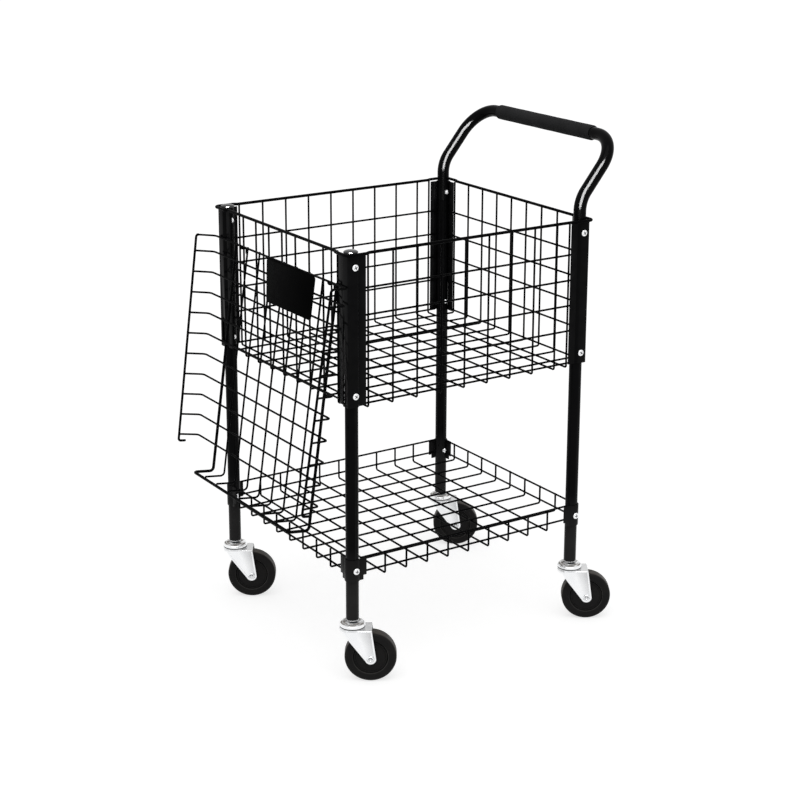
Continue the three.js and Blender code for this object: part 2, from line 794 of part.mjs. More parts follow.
function stem() {
  const pin = KINGPIN_DIAMETER / 2;
  const headTop = crownUnder - FIT;
  const bearing = BEARING_DIAMETER / 2;
  const shoulder = BEARING_SHOULDER_DIAMETER / 2;
  const edge = bearingUnder + BEARING_EDGE;
  const dome = Array.from({ length: BEND_STEPS + 1 }, (_, k) => {
    const turn = (Math.PI / 2) * (k / BEND_STEPS);
    const out = shoulder + (bearing - shoulder) * Math.cos(turn);
    return [out, edge + (neckUnder - edge) * Math.sin(turn)];
  });
  const profile = [
    [0, headTop - KINGPIN_HEAD_HEIGHT],
    [KINGPIN_HEAD_DIAMETER / 2, headTop - KINGPIN_HEAD_HEIGHT],
    [KINGPIN_HEAD_DIAMETER / 2, headTop],
    [pin, headTop],
    [pin, bearingUnder],
    [bearing, bearingUnder],
    ...dome,
    [tubeRadius, neckUnder],
    [tubeRadius, neckTop],
    [boreRadius - FIT, neckTop],
    [boreRadius - FIT, neckTop + STEM_LENGTH],
    [0, neckTop + STEM_LENGTH],
  ];
  return solidOf(turnedUp(profile, RING_SIDES));
}

function forkOutline() {
  const line = [
    [-CROWN_LEAD, crownTop],
    [-CROWN_LEAD, crownTop - FORK_SKIRT],
    [-FORK_SKIRT_END, crownTop - FORK_SKIRT],
    [-FORK_WAIST, crownTop - FORK_WAIST_DROP],
  ];
  const sweep = FORK_FOOT_TRAIL_ANGLE - FORK_FOOT_LEAD_ANGLE;
  for (let k = 0; k <= TUBE_BEND_STEPS; k += 1) {
    const turn = degree * (FORK_FOOT_LEAD_ANGLE + (sweep * k) / TUBE_BEND_STEPS);
    const x = CASTER_TRAIL + FORK_FOOT_RADIUS * Math.cos(turn);
    line.push([x, axleHeight + FORK_FOOT_RADIUS * Math.sin(turn)]);
  }
  line.push([CROWN_TRAIL, crownTop]);
  return line;
}

// Plan of the fork: round in front of the kingpin, straight along the legs
function forkPlan(lead, half) {
  const turn = Math.asin(half / lead);
  const line = [[WHEEL_DIAMETER, -half], [WHEEL_DIAMETER, half]];
  for (let k = 0; k <= WRAP_STEPS; k += 1) {
    const angle = Math.PI - turn + (2 * turn * k) / WRAP_STEPS;
    line.push([lead * Math.cos(angle), lead * Math.sin(angle)]);
  }
  return line;
}

// A pressed channel: the plan gives its width and the outline its height, with the inside taken out
function fork() {
  const half = FORK_WIDTH / 2;
  const side = raised(forkOutline(), -FORK_WIDTH, FORK_WIDTH);
  side.rotateX(Math.PI / 2);
  const outer = solidOf(raised(forkPlan(CROWN_LEAD, half), 0, postFoot));
  const inner = solidOf(raised(forkPlan(CROWN_LEAD - FORK_SHEET, half - FORK_SHEET), 0, crownUnder));
  let body = solidOf(side).intersect(outer).subtract(inner);
  const hole = boreReach(KINGPIN_DIAMETER / 2 + FIT, RING_SIDES);
  const holeProfile = [[0, 0], [hole, 0], [hole, postFoot], [0, postFoot]];
  body = body.subtract(solidOf(turnedUp(holeProfile, RING_SIDES)));
  const axleHole = boreReach(AXLE_DIAMETER / 2 + FIT, BOLT_SIDES);
  return body.subtract(drill(axleHole, CASTER_TRAIL, axleHeight, -FORK_WIDTH, FORK_WIDTH));
}

function axle() {
  const seat = FORK_WIDTH / 2 + FIT;
  const shank = AXLE_DIAMETER / 2;
  const head = AXLE_HEAD_DIAMETER / 2;
  const end = seat + AXLE_HEAD_HEIGHT;
  const profile = [
    [0, -end],
    [shank, -end],
    [head, -seat - AXLE_HEAD_HEIGHT / 2],
    [head, -seat],
    [shank, -seat],
    [shank, seat],
    [head, seat],
    [head, seat + AXLE_HEAD_HEIGHT / 2],
    [shank, end],
    [0, end],
  ];
  return solidOf(turned(profile, BOLT_SIDES)).translate([CASTER_TRAIL, 0, axleHeight]);
}

// The facets of the tread touch the true circle at their middles, and one of them lies on the floor
function wheel() {
  const grow = 1 / Math.cos(Math.PI / WHEEL_SIDES);
  const bore = AXLE_DIAMETER / 2 + WHEEL_BORE_CLEARANCE;
  const hub = FORK_WIDTH / 2 - FORK_SHEET - WHEEL_SIDE_CLEARANCE;
  const hubRadius = WHEEL_HUB_DIAMETER / 2;
  const disc = WHEEL_DISC_DIAMETER / 2;
  const radius = WHEEL_DIAMETER / 2;
  const outerHalf = [
    [bore, hub],
    [hubRadius, hub],
    [disc, WHEEL_DISC_WIDTH / 2],
    [disc, WHEEL_WIDTH / 2],
    [radius - TYRE_SHOULDER, WHEEL_WIDTH / 2],
    [radius, TYRE_CROWN_WIDTH / 2],
  ];
  const far = outerHalf.map(([r, y]) => [grow * r, -y]);
  const near = outerHalf.map(([r, y]) => [grow * r, y]).reverse();
  const profile = [...far, ...near, far[0]];
  const geometry = turned(profile, WHEEL_SIDES, Math.PI / WHEEL_SIDES);
  return solidOf(geometry).translate([CASTER_TRAIL, 0, axleHeight]);
}

const parts = { stem: stem(), fork: fork(), axle: axle(), wheel: wheel() };
for (const [corner, sx, sy] of corners) {
  const caster = new THREE.Group();
  caster.position.set(sx * halfLength, sy * halfWidth, 0);
  part.add(caster);
  place(`caster_stem_${corner}`, parts.stem, ...zinc, caster);
  const swivel = new THREE.Group();
  swivel.rotation.z = CASTER_TRAIL_ANGLE * degree;
  caster.add(swivel);
  place(`caster_fork_${corner}`, parts.fork, ...zinc, swivel);
  place(`caster_axle_${corner}`, parts.axle, ...zinc, swivel);
  place(`caster_wheel_${corner}`, parts.wheel, ...tread, swivel);
}

// Hanging rack: cross wires turned out at both ends, bars turned out at the foot, thick edges

const rackX = -halfLength - RACK_STANDOFF;
const rackZ = postTop - RACK_DROP;
const rack = new THREE.Group();
rack.position.set(rackX, 0, rackZ);
rack.rotation.y = RACK_LEAN * degree;
part.add(rack);

function rackHalfWidth(drop) {
  return (RACK_TOP_WIDTH + ((RACK_BOTTOM_WIDTH - RACK_TOP_WIDTH) * drop) / RACK_LENGTH) / 2;
}

const barPitch = (RACK_FRAME_LEFT + RACK_FRAME_RIGHT) / (RACK_BARS + 1);
const lowestDrop = RACK_LENGTH - RACK_EDGE_PAST - RACK_FRAME_DIAMETER;
const rackRows = wiresOn(lowestDrop - RACK_FIRST_PITCH, RACK_PITCH);

function rackSolid() {
  const pieces = [];
  const edgeSection = wireSection(RACK_EDGE_DIAMETER, THICK_WIRE_SIDES);
  const frameSection = wireSection(RACK_FRAME_DIAMETER, THICK_WIRE_SIDES);
  const drops = [0];
  for (let row = 0; row < rackRows; row += 1) {
    drops.push(RACK_FIRST_PITCH + row * RACK_PITCH);
  }
  const depth = RACK_WALL_DEPTH;
  for (const drop of drops) {
    const half = rackHalfWidth(drop);
    const line = [
      point(-depth, -half - RACK_WALL_SPLAY, -drop),
      point(0, -half, -drop),
      point(0, half, -drop),
      point(-depth, half + RACK_WALL_SPLAY, -drop),
    ];
    pieces.push(wire(rounded(line, RACK_BEND_RADIUS, WIRE_BEND_STEPS), alongZ));
  }
  const edgeFoot = drops[drops.length - 1] + RACK_EDGE_PAST;
  for (const sign of [-1, 1]) {
    const top = sign * (rackHalfWidth(0) + RACK_WALL_SPLAY);
    const foot = sign * (rackHalfWidth(edgeFoot) + RACK_WALL_SPLAY);
    const line = [
      point(-depth, top, 0),
      point(-depth, foot, -edgeFoot),
      point(-depth + RACK_FOOT, foot, -edgeFoot),
    ];
    const path = rounded(line, RACK_EDGE_DIAMETER, BEND_STEPS);
    pieces.push(wire(path, alongY, edgeSection));
  }
  const behind = wireRadius + RACK_FRAME_DIAMETER / 2 - WIRE_WELD_SINK;
  const loop = [
    point(behind, -RACK_FRAME_LEFT, wireRadius),
    point(behind, -RACK_FRAME_LEFT, -RACK_LENGTH),
    point(-depth, -RACK_FRAME_LEFT, -RACK_LENGTH),
    point(-depth, RACK_FRAME_RIGHT, -RACK_LENGTH),
    point(behind, RACK_FRAME_RIGHT, -RACK_LENGTH),
    point(behind, RACK_FRAME_RIGHT, wireRadius),
  ];
  pieces.push(wire(rounded(loop, RACK_BEND_RADIUS, BEND_STEPS), alongY, frameSection));
  const barFoot = -RACK_LENGTH + RACK_FRAME_DIAMETER / 2 + wireRadius - WIRE_WELD_SINK;
  for (let k = 1; k <= RACK_BARS; k += 1) {
    const y = k * barPitch - RACK_FRAME_LEFT;
    const line = [point(crossing, y, wireRadius), point(crossing, y, barFoot), point(-depth, y, barFoot)];
    pieces.push(wire(rounded(line, RACK_BEND_RADIUS, WIRE_BEND_STEPS), alongY));
  }
  return joined(pieces);
}

// The flat grid, the two turned-out sides and the turned-out foot are solids of their own
const wholeRack = rackSolid();
const rackTaper = (RACK_TOP_WIDTH - RACK_BOTTOM_WIDTH) / (2 * RACK_LENGTH);
const flatHalf = (RACK_TOP_WIDTH / 2 - RACK_BEND_RADIUS) / Math.hypot(1, rackTaper);
const sideStart = flatHalf + PANEL_BUTT_GAP;
const flatEnd = RACK_LENGTH - RACK_BEND_RADIUS - RACK_FRAME_DIAMETER;
const footStart = flatEnd + PANEL_BUTT_GAP;
const leftOpen = wholeRack.trimByPlane([0, 1, rackTaper], -flatHalf);
const rackMiddle = leftOpen.trimByPlane([0, -1, rackTaper], -flatHalf);
place('rack_grid', rackMiddle.trimByPlane([0, 0, 1], -flatEnd), ...blackWire, rack);
place('rack_foot', rackMiddle.trimByPlane([0, 0, -1], footStart), ...blackWire, rack);
place('rack_side_left', wholeRack.trimByPlane([0, -1, -rackTaper], sideStart), ...blackWire, rack);
place('rack_side_right', wholeRack.trimByPlane([0, 1, -rackTaper], sideStart), ...blackWire, rack);

// The plate stands in front of the grid, square at one end and slanted at the other
function plate() {
  const low = -PLATE_DROP - PLATE_HEIGHT;
  const high = -PLATE_DROP;
  const corner = [
    point(PLATE_SQUARE_EDGE, low, 0),
    point(PLATE_SQUARE_EDGE + PLATE_FOOT_WIDTH, low, 0),
    point(PLATE_SQUARE_EDGE + PLATE_TOP_WIDTH, high, 0),
    point(PLATE_SQUARE_EDGE, high, 0),
  ];
  const outline = rounded(corner, PLATE_CORNER_RADIUS, TUBE_BEND_STEPS, true).map(({ x, y }) => [x, y]);
  const geometry = raised(outline, 0, PLATE_THICKNESS);
  geometry.rotateX(Math.PI / 2);
  geometry.rotateZ(Math.PI / 2);
  geometry.translate(-wireRadius - FIT - PLATE_THICKNESS, 0, 0);
  return solidOf(geometry);
}

place('name_plate', plate(), ...platePaint, rack);

// Hooks: bent wires on the first level wire of the front wall, with the rack's top wire in their bend

function hook(y) {
  const seat = WIRE_DIAMETER + FIT;
  const shankX = -halfLength - WIRE_OFFSET - seat;
  const crook = rackZ - seat;
  const weld = postTop - FIRST_WIRE_DROP;
  const line = [
    point(shankX, y, weld - HOOK_SHANK),
    point(shankX, y, crook),
    point(rackX - seat, y, crook),
    point(rackX - seat, y, rackZ + HOOK_TIP),
  ];
  return wire(rounded(line, HOOK_BEND_RADIUS, BEND_STEPS), alongY);
}

const hookNames = ['rack_hook_left', 'rack_hook_right'];
HOOK_GAPS.forEach((gap, i) => {
  place(hookNames[i], hook((gap + HOOK_GAP_SHARE) * barPitch - RACK_FRAME_LEFT), ...blackWire);
});

// The origin goes to the middle of the whole cart on the floor
const bounds = new THREE.Box3().setFromObject(part);
const middle = bounds.getCenter(new THREE.Vector3());
part.position.set(-middle.x, -middle.y, -bounds.min.z);
part.updateMatrixWorld(true);

export default part;
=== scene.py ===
# %% [markdown]
# # A ball cart for coaching
# A wire basket and a wire shelf hang between four tube posts on casters. A bent tube is the push
# handle, and a wire rack hangs at the front end. The CAD frame gives every place and joint, and the
# pieces made here stand over its plain solids with round wires, folded sheet and real finishes.
# Sizes are in millimetres from the middle of the four posts, and meshes are made in metres.

# %% Load the frame
import json
import math

import bmesh
import bpy
from mathutils import Matrix, Vector

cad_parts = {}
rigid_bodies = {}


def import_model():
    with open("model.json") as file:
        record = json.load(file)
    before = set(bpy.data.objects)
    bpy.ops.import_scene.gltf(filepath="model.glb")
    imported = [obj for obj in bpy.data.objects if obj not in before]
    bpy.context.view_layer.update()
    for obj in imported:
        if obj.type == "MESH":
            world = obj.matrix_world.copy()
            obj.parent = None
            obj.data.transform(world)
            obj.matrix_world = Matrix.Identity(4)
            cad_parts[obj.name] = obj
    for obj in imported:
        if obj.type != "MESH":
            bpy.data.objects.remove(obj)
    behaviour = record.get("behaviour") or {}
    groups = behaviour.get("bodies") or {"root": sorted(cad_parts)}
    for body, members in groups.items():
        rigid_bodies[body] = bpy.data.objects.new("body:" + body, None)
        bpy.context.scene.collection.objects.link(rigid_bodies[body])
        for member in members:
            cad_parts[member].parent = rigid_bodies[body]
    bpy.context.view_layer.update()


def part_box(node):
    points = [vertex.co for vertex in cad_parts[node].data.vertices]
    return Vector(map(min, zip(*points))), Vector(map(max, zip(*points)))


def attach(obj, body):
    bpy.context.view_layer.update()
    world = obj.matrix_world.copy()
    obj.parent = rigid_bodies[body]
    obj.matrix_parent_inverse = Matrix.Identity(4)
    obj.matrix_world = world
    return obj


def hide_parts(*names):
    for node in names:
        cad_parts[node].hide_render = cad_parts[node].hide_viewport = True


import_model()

MM = 0.001
CORNERS = {
    "front_left": (-1, -1),
    "front_right": (-1, 1),
    "rear_left": (1, -1),
    "rear_right": (1, 1),
}
post_boxes = [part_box(f"post_{corner}") for corner in CORNERS]
post_middles = [(low + high) / 2 for low, high in post_boxes]
middle = sum(post_middles, Vector()) / len(post_middles)
cart = Matrix.Translation((middle.x, middle.y, 0))
HALF_LENGTH = round((post_middles[2].x - post_middles[0].x) / 2 / MM, 2)
HALF_WIDTH = round((post_middles[1].y - post_middles[0].y) / 2 / MM, 2)
POST_FOOT = round(post_boxes[0][0].z / MM, 2)
POST_TOP = round(post_boxes[0][1].z / MM, 2)
HANDLE_SEAM = round(post_boxes[2][1].z / MM, 2)
print("posts at", HALF_LENGTH, HALF_WIDTH, "from", POST_FOOT, "to", POST_TOP, HANDLE_SEAM)

# %% [markdown]
# ## Camera
# The photograph looks down on the near front corner with a long lens. The view was found by fitting
# a pinhole camera to measured points of the posts, screws, rim and wheels, so its numbers stand as
# they came out of that fit. The small lens shift in it lets the posts lean less than a plain tilt does.

# %% Place the camera
FOCAL_PIXELS = 1836.66
IMAGE_PIXELS = 800
VIEW_TURN = math.radians(33.193)
VIEW_DROP = math.radians(15.54)
VIEW_ROLL = math.radians(0.149)
VIEW_DISTANCE = 3689.96
VIEW_SIDESTEP = 1.668
VIEW_HEIGHT = 619.55
LENS_SHIFT = -0.1
SENSOR_WIDTH = 36

look = Vector((
    math.sin(VIEW_TURN) * math.cos(VIEW_DROP),
    math.cos(VIEW_TURN) * math.cos(VIEW_DROP),
    -math.sin(VIEW_DROP),
))
level = Vector((math.cos(VIEW_TURN), -math.sin(VIEW_TURN), 0))
upward = level.cross(look)
right = level * math.cos(VIEW_ROLL) + upward * math.sin(VIEW_ROLL)
upward = upward * math.cos(VIEW_ROLL) - level * math.sin(VIEW_ROLL)
eye = Vector((0, 0, VIEW_HEIGHT)) - look * VIEW_DISTANCE - level * VIEW_SIDESTEP
camera_data = bpy.data.cameras.new("camera")
camera_data.sensor_fit = "HORIZONTAL"
camera_data.sensor_width = SENSOR_WIDTH
camera_data.lens = FOCAL_PIXELS * SENSOR_WIDTH / IMAGE_PIXELS
camera_data.shift_y = LENS_SHIFT
camera = bpy.data.objects.new("camera", camera_data)
camera.matrix_world = Matrix((
    (right.x, upward.x, -look.x, middle.x + eye.x * MM),
    (right.y, upward.y, -look.y, middle.y + eye.y * MM),
    (right.z, upward.z, -look.z, eye.z * MM),
    (0, 0, 0, 1),
))
bpy.context.scene.collection.objects.link(camera)
bpy.context.scene.camera = camera
print("lens", round(camera_data.lens, 2), "mm, eye at", [round(v, 3) for v in camera.location])

# %% [markdown]
# ## Node helpers
# A finish is a small net of nodes round one shader. The same few steps come back in each: a noise
# in the piece's own coordinates, so that the grain moves with the piece; a range that turns the
# noise into a roughness or a mask; two tones; a worn tone over a mask; and a bump. Each step is one
# short function that adds its nodes to the net and gives back their output.

# %% Helpers for finishes
finishes = {}


def new_finish(name, roughness, specular, metallic=0.0):
    """A material with plain values on its shader. Nodes are linked to it afterwards."""
    material = bpy.data.materials.new(name)
    material.use_nodes = True
    tree = material.node_tree
    shader = tree.nodes["Principled BSDF"]
    shader.inputs["Roughness"].default_value = roughness
    shader.inputs["Metallic"].default_value = metallic
    shader.inputs["Specular IOR Level"].default_value = specular
    finishes[name] = material
    return tree, shader


def noise(tree, scale, detail=3.0, stretch=(1, 1, 1)):
    """Grey noise in the piece's own coordinates, so that it moves with the piece."""
    coordinates = tree.nodes.new("ShaderNodeTexCoord")
    mapping = tree.nodes.new("ShaderNodeMapping")
    mapping.inputs["Scale"].default_value = stretch
    texture = tree.nodes.new("ShaderNodeTexNoise")
    texture.inputs["Scale"].default_value = scale
    texture.inputs["Detail"].default_value = detail
    tree.links.new(coordinates.outputs["Object"], mapping.inputs["Vector"])
    tree.links.new(mapping.outputs["Vector"], texture.inputs["Vector"])
    return texture.outputs["Fac"]


def ranged(tree, value, low, high, start=0.3, end=0.7):
    """The value taken from start and end to low and high, and held there beyond them."""
    node = tree.nodes.new("ShaderNodeMapRange")
    for name, number in (("From Min", start), ("From Max", end), ("To Min", low), ("To Max", high)):
        node.inputs[name].default_value = number
    tree.links.new(value, node.inputs["Value"])
    return node.outputs["Result"]


def calculated(tree, operation, *values):
    """One step of arithmetic on outputs of nodes and on plain numbers, which need a decimal point."""
    node = tree.nodes.new("ShaderNodeMath")
    node.operation = operation
    for socket, value in zip(node.inputs, values):
        if isinstance(value, float):
            socket.default_value = value
        else:
            tree.links.new(value, socket)
    return node.outputs["Value"]


def product(tree, a, b):
    return calculated(tree, "MULTIPLY", a, b)


print("node helpers ready: a noise shows steps of about one over its scale, in metres")

# %% Tones, wear and bumps


def tones(tree, value, dark, light):
    """A blend of two colours by a value."""
    ramp = tree.nodes.new("ShaderNodeValToRGB")
    for stop, position, colour in zip(ramp.color_ramp.elements, (0.3, 0.7), (dark, light)):
        stop.position = position
        stop.color = (*colour, 1)
    tree.links.new(value, ramp.inputs["Fac"])
    return ramp.outputs["Color"]


def worn(tree, mask, under, over):
    """The colour under, with the tone over where the mask is one."""
    node = tree.nodes.new("ShaderNodeMix")
    node.data_type = "RGBA"
    node.inputs["B"].default_value = (*over, 1)
    tree.links.new(mask, node.inputs["Factor"])
    tree.links.new(under, node.inputs["A"])
    return node.outputs["Result"]


def bumped(tree, shader, height, distance, strength=0.5):
    """A bump of at most that depth in metres, laid over the bumps that are there."""
    node = tree.nodes.new("ShaderNodeBump")
    node.inputs["Distance"].default_value = distance
    node.inputs["Strength"].default_value = strength
    tree.links.new(height, node.inputs["Height"])
    earlier = shader.inputs["Normal"].links
    if earlier:
        tree.links.new(earlier[0].from_socket, node.inputs["Normal"])
    tree.links.new(node.outputs["Normal"], shader.inputs["Normal"])


print("tone, wear and bump helpers ready")

# %% Masks by edge and by place


def edges_of(tree, start, end):
    """One on outer edges, where the mesh is pointed."""
    geometry = tree.nodes.new("ShaderNodeNewGeometry")
    return ranged(tree, geometry.outputs["Pointiness"], 0, 1, start, end)


def place_of(tree):
    """The x, y and z of each spot, in metres from the piece's own origin."""
    parts = tree.nodes.new("ShaderNodeSeparateXYZ")
    tree.links.new(tree.nodes.new("ShaderNodeTexCoord").outputs["Object"], parts.inputs["Vector"])
    return [parts.outputs[axis] for axis in "XYZ"]


def height_of(tree):
    return place_of(tree)[2]


print("mask helpers ready: edges and places")

# %% [markdown]
# ## Powder coat
# The posts, handle and brackets are powder coated. The powder melts into a glossy skin with a faint
# orange peel, and rubs grey where hands and balls pass. Low down, near the wheels, it is painted
# lighter: a painted reflection of the bright floor. A fine bump gives the peel, a wide noise varies
# the gloss, and the folds of the sheet are a little lighter, partly wear and partly a painted
# highlight. The coat is so black that its reflection counts for more than its colour. A real coat has
# a specular level near 0.5. It is far lower here, and on the other black finishes, to match the dark
# tones of the photograph in a studio that is white all round.

# %% Powder coat
PEEL_SCALE = 420
SCUFF_SCALE = 55
FLOOR_REFLECTION_FROM = 270
FLOOR_REFLECTION_FULL = 190
tree, shader = new_finish("powder_coat", 0.24, specular=0.028)
skin = tones(tree, noise(tree, 9), (0.0022, 0.0022, 0.0025), (0.0040, 0.0040, 0.0044))
scuff = ranged(tree, noise(tree, SCUFF_SCALE, 8), 0, 1, 0.62, 0.78)
rub = product(tree, scuff, ranged(tree, noise(tree, 6), 0, 0.7))
skin = worn(tree, rub, skin, (0.007, 0.007, 0.0075))
# Painted reflection of the bright floor: lighter towards the bottom of each piece, fading out upwards.
low_down = ranged(tree, height_of(tree), 1, 0, FLOOR_REFLECTION_FULL * MM, FLOOR_REFLECTION_FROM * MM)
painted_floor_reflection = product(tree, low_down, ranged(tree, noise(tree, 14, 4), 0.5, 1))
skin = worn(tree, painted_floor_reflection, skin, (0.036, 0.035, 0.035))
# Lighter on folds and edges: partly wear, partly a painted highlight.
edge = product(tree, edges_of(tree, 0.53, 0.62), ranged(tree, noise(tree, 60, 4), 0.2, 0.8))
skin = worn(tree, edge, skin, (0.026, 0.026, 0.027))
tree.links.new(skin, shader.inputs["Base Color"])
tree.links.new(ranged(tree, noise(tree, 24, 3), 0.12, 0.15), shader.inputs["Roughness"])
bumped(tree, shader, noise(tree, PEEL_SCALE, 2), 0.00001, 0.15)
print("powder coat: peel of about", round(1 / PEEL_SCALE / MM, 1), "mm, dust below", FLOOR_REFLECTION_FROM, "mm")

# %% [markdown]
# ## Coated wire
# The wire panels are dipped after welding, so their coat is thicker and duller than on the tubes,
# with small runs and grit. The gloss changes along the wire more than on the tubes.

# %% Coated wire
WIRE_GRIT_SCALE = 900
tree, shader = new_finish("coated_wire", 0.4, specular=0.012)
grit = noise(tree, WIRE_GRIT_SCALE, 4)
runs = noise(tree, 70, 4, stretch=(1, 1, 0.4))
coat = tones(tree, noise(tree, 14), (0.0022, 0.0022, 0.0025), (0.0042, 0.0042, 0.0045))
chips = ranged(tree, noise(tree, 240, 6), 0, 1, 0.66, 0.72)
chipped = product(tree, chips, ranged(tree, runs, 0, 0.6))
tree.links.new(worn(tree, chipped, coat, (0.014, 0.014, 0.015)), shader.inputs["Base Color"])
tree.links.new(ranged(tree, runs, 0.32, 0.5), shader.inputs["Roughness"])
bumped(tree, shader, grit, 0.00005, 0.4)
bumped(tree, shader, runs, 0.0002, 0.3)
print("coated wire: grit of about", round(1 / WIRE_GRIT_SCALE / MM, 1), "mm")

# %% [markdown]
# ## Plastic, foam and wheels
# The plugs are glossy moulded plastic. The grip is closed-cell foam: a skin of tiny pores, which a
# cell texture gives better than a noise, and no clear reflection. The wheels are hard moulded black.
# Their tread is dusty and brownish. A lighter ring beside the groove in their face is a painted
# highlight.

# %% Plug plastic
tree, shader = new_finish("plug_plastic", 0.16, specular=0.5)
flow = noise(tree, 60, 4, stretch=(1, 3, 1))
plastic = tones(tree, flow, (0.008, 0.008, 0.009), (0.013, 0.013, 0.014))
tree.links.new(plastic, shader.inputs["Base Color"])
tree.links.new(ranged(tree, noise(tree, 300, 6), 0.12, 0.26), shader.inputs["Roughness"])
bumped(tree, shader, flow, 0.0001, 0.3)
print("plug plastic: glossy, with flow marks across")

# %% Grip foam
PORE_SCALE = 1100
tree, shader = new_finish("grip_foam", 0.85, specular=0.06)
coordinates = tree.nodes.new("ShaderNodeTexCoord")
cells = tree.nodes.new("ShaderNodeTexVoronoi")
cells.inputs["Scale"].default_value = PORE_SCALE
tree.links.new(coordinates.outputs["Object"], cells.inputs["Vector"])
pores = cells.outputs["Distance"]
foam_tone = tones(tree, noise(tree, 22, 5), (0.020, 0.020, 0.021), (0.028, 0.028, 0.029))
# The pores are painted darker: a painted shade inside each pore.
painted_pore_shade = ranged(tree, pores, 0.6, 0.0, 0.0, 0.45)
tree.links.new(worn(tree, painted_pore_shade, foam_tone, (0.010, 0.010, 0.011)), shader.inputs["Base Color"])
tree.links.new(ranged(tree, noise(tree, 90, 5), 0.7, 0.95), shader.inputs["Roughness"])
bumped(tree, shader, pores, 0.00025, 0.6)
bumped(tree, shader, noise(tree, 45, 3), 0.0006, 0.35)
print("grip foam: pores of about", round(1 / PORE_SCALE / MM, 1), "mm")

# %% Wheel plastic
WHEEL_RADIUS = 50
TREAD_START = WHEEL_RADIUS - 1.4
TREAD_FULL = WHEEL_RADIUS - 0.6
GROOVE_RADIUS = 33
GROOVE_HIGHLIGHT_INNER = GROOVE_RADIUS + 0.6
GROOVE_HIGHLIGHT_OUTER = GROOVE_RADIUS + 1.6
RING_SOFTNESS = 0.5


def distance_from_axle(tree):
    x, y, z = place_of(tree)
    square = calculated(tree, "ADD", product(tree, x, x), product(tree, z, z))
    return calculated(tree, "SQRT", square)


def ring_about_axle(tree, inner, outer):
    """One between two distances from the axle, with soft edges."""
    out = distance_from_axle(tree)
    above = ranged(tree, out, 0, 1, (inner - RING_SOFTNESS) * MM, inner * MM)
    below = ranged(tree, out, 1, 0, outer * MM, (outer + RING_SOFTNESS) * MM)
    return product(tree, above, below)


tree, shader = new_finish("wheel_tread", 0.4, specular=0.08)
dust = noise(tree, 45, 6)
base = tones(tree, noise(tree, 12), (0.0090, 0.0088, 0.0088), (0.0135, 0.0130, 0.0128))
base = worn(tree, ranged(tree, dust, 0, 0.45, 0.5, 0.75), base, (0.026, 0.024, 0.022))
tread = ranged(tree, distance_from_axle(tree), 0, 0.8, TREAD_START * MM, TREAD_FULL * MM)
tread = product(tree, tread, ranged(tree, dust, 0.4, 1, 0.35, 0.65))
base = worn(tree, tread, base, (0.085, 0.075, 0.066))
# A painted highlight: a lighter ring just outside the groove, all round the face.
groove_highlight = ring_about_axle(tree, GROOVE_HIGHLIGHT_INNER, GROOVE_HIGHLIGHT_OUTER)
groove_highlight = product(tree, groove_highlight, ranged(tree, dust, 0.3, 1))
base = worn(tree, groove_highlight, base, (0.060, 0.058, 0.056))
tree.links.new(base, shader.inputs["Base Color"])
tree.links.new(ranged(tree, dust, 0.32, 0.55), shader.inputs["Roughness"])
bumped(tree, shader, noise(tree, 700, 3), 0.00008, 0.5)
print("wheel plastic: rubbed from", GROOVE_HIGHLIGHT_INNER, "to", GROOVE_HIGHLIGHT_OUTER, "mm out, tread from", TREAD_START)

# %% Plate paint
tree, shader = new_finish("plate_paint", 0.3, specular=0.004)
paint = tones(tree, noise(tree, 16, 4), (0.0006, 0.0006, 0.0007), (0.0012, 0.0012, 0.0013))
tree.links.new(paint, shader.inputs["Base Color"])
tree.links.new(ranged(tree, noise(tree, 120, 7), 0.26, 0.4), shader.inputs["Roughness"])
bumped(tree, shader, noise(tree, 350, 2), 0.00004, 0.4)
print("finishes so far:", ", ".join(finishes))

# %% [markdown]
# ## Zinc plate
# Casters and screws are steel with bright zinc. It is a true metal, so its colour is that of its
# reflection. Faint cloudy tints from the bath and fine scratches keep it from looking like chrome.
# In the photograph it mirrors dark things that this white studio hasn't got. So a zinc piece may have
# painted reflections and painted shade that stand in for them: a mask, a dull tone and how much of
# that tone it takes. Every zinc piece also gets a painted shade in its hollows. They are part of the
# piece, so other light doesn't move them, which is the weak side of this way.

# %% Zinc plate
SCRATCH_SCALE = 160


def painted_hollow_shade(tree):
    """Nearly one in hollows, where the mesh is the opposite of pointed, which get a painted shade."""
    corner = tree.nodes.new("ShaderNodeNewGeometry").outputs["Pointiness"]
    return ranged(tree, corner, 0.9, 0.0, 0.38, 0.47)


def zinc(name, marks=()):
    """Bright zinc. Each mark is a maker of a mask, a dull tone and how much of that tone it takes."""
    tree, shader = new_finish(name, 0.2, metallic=1.0, specular=0)
    plated = tones(tree, noise(tree, 30, 5), (0.85, 0.86, 0.875), (0.93, 0.935, 0.94))
    metal = None
    for mask_of, tone, share in ((painted_hollow_shade, (0.08, 0.08, 0.085), 1), *marks):
        mask = ranged(tree, mask_of(tree), 0, share, 0, 1)
        left = ranged(tree, mask, 1, 0, 0, 1)
        plated = worn(tree, mask, plated, tone)
        metal = product(tree, metal, left) if metal else left
    scratches = noise(tree, SCRATCH_SCALE, 6, stretch=(1, 1, 14))
    tree.links.new(plated, shader.inputs["Base Color"])
    tree.links.new(metal, shader.inputs["Metallic"])
    tree.links.new(ranged(tree, scratches, 0.12, 0.24), shader.inputs["Roughness"])
    bumped(tree, shader, scratches, 0.00001, 0.2)
    bumped(tree, shader, noise(tree, 60, 2), 0.00006, 0.2)


print("zinc plate: scratches of about", round(1 / SCRATCH_SCALE / MM, 1), "mm")

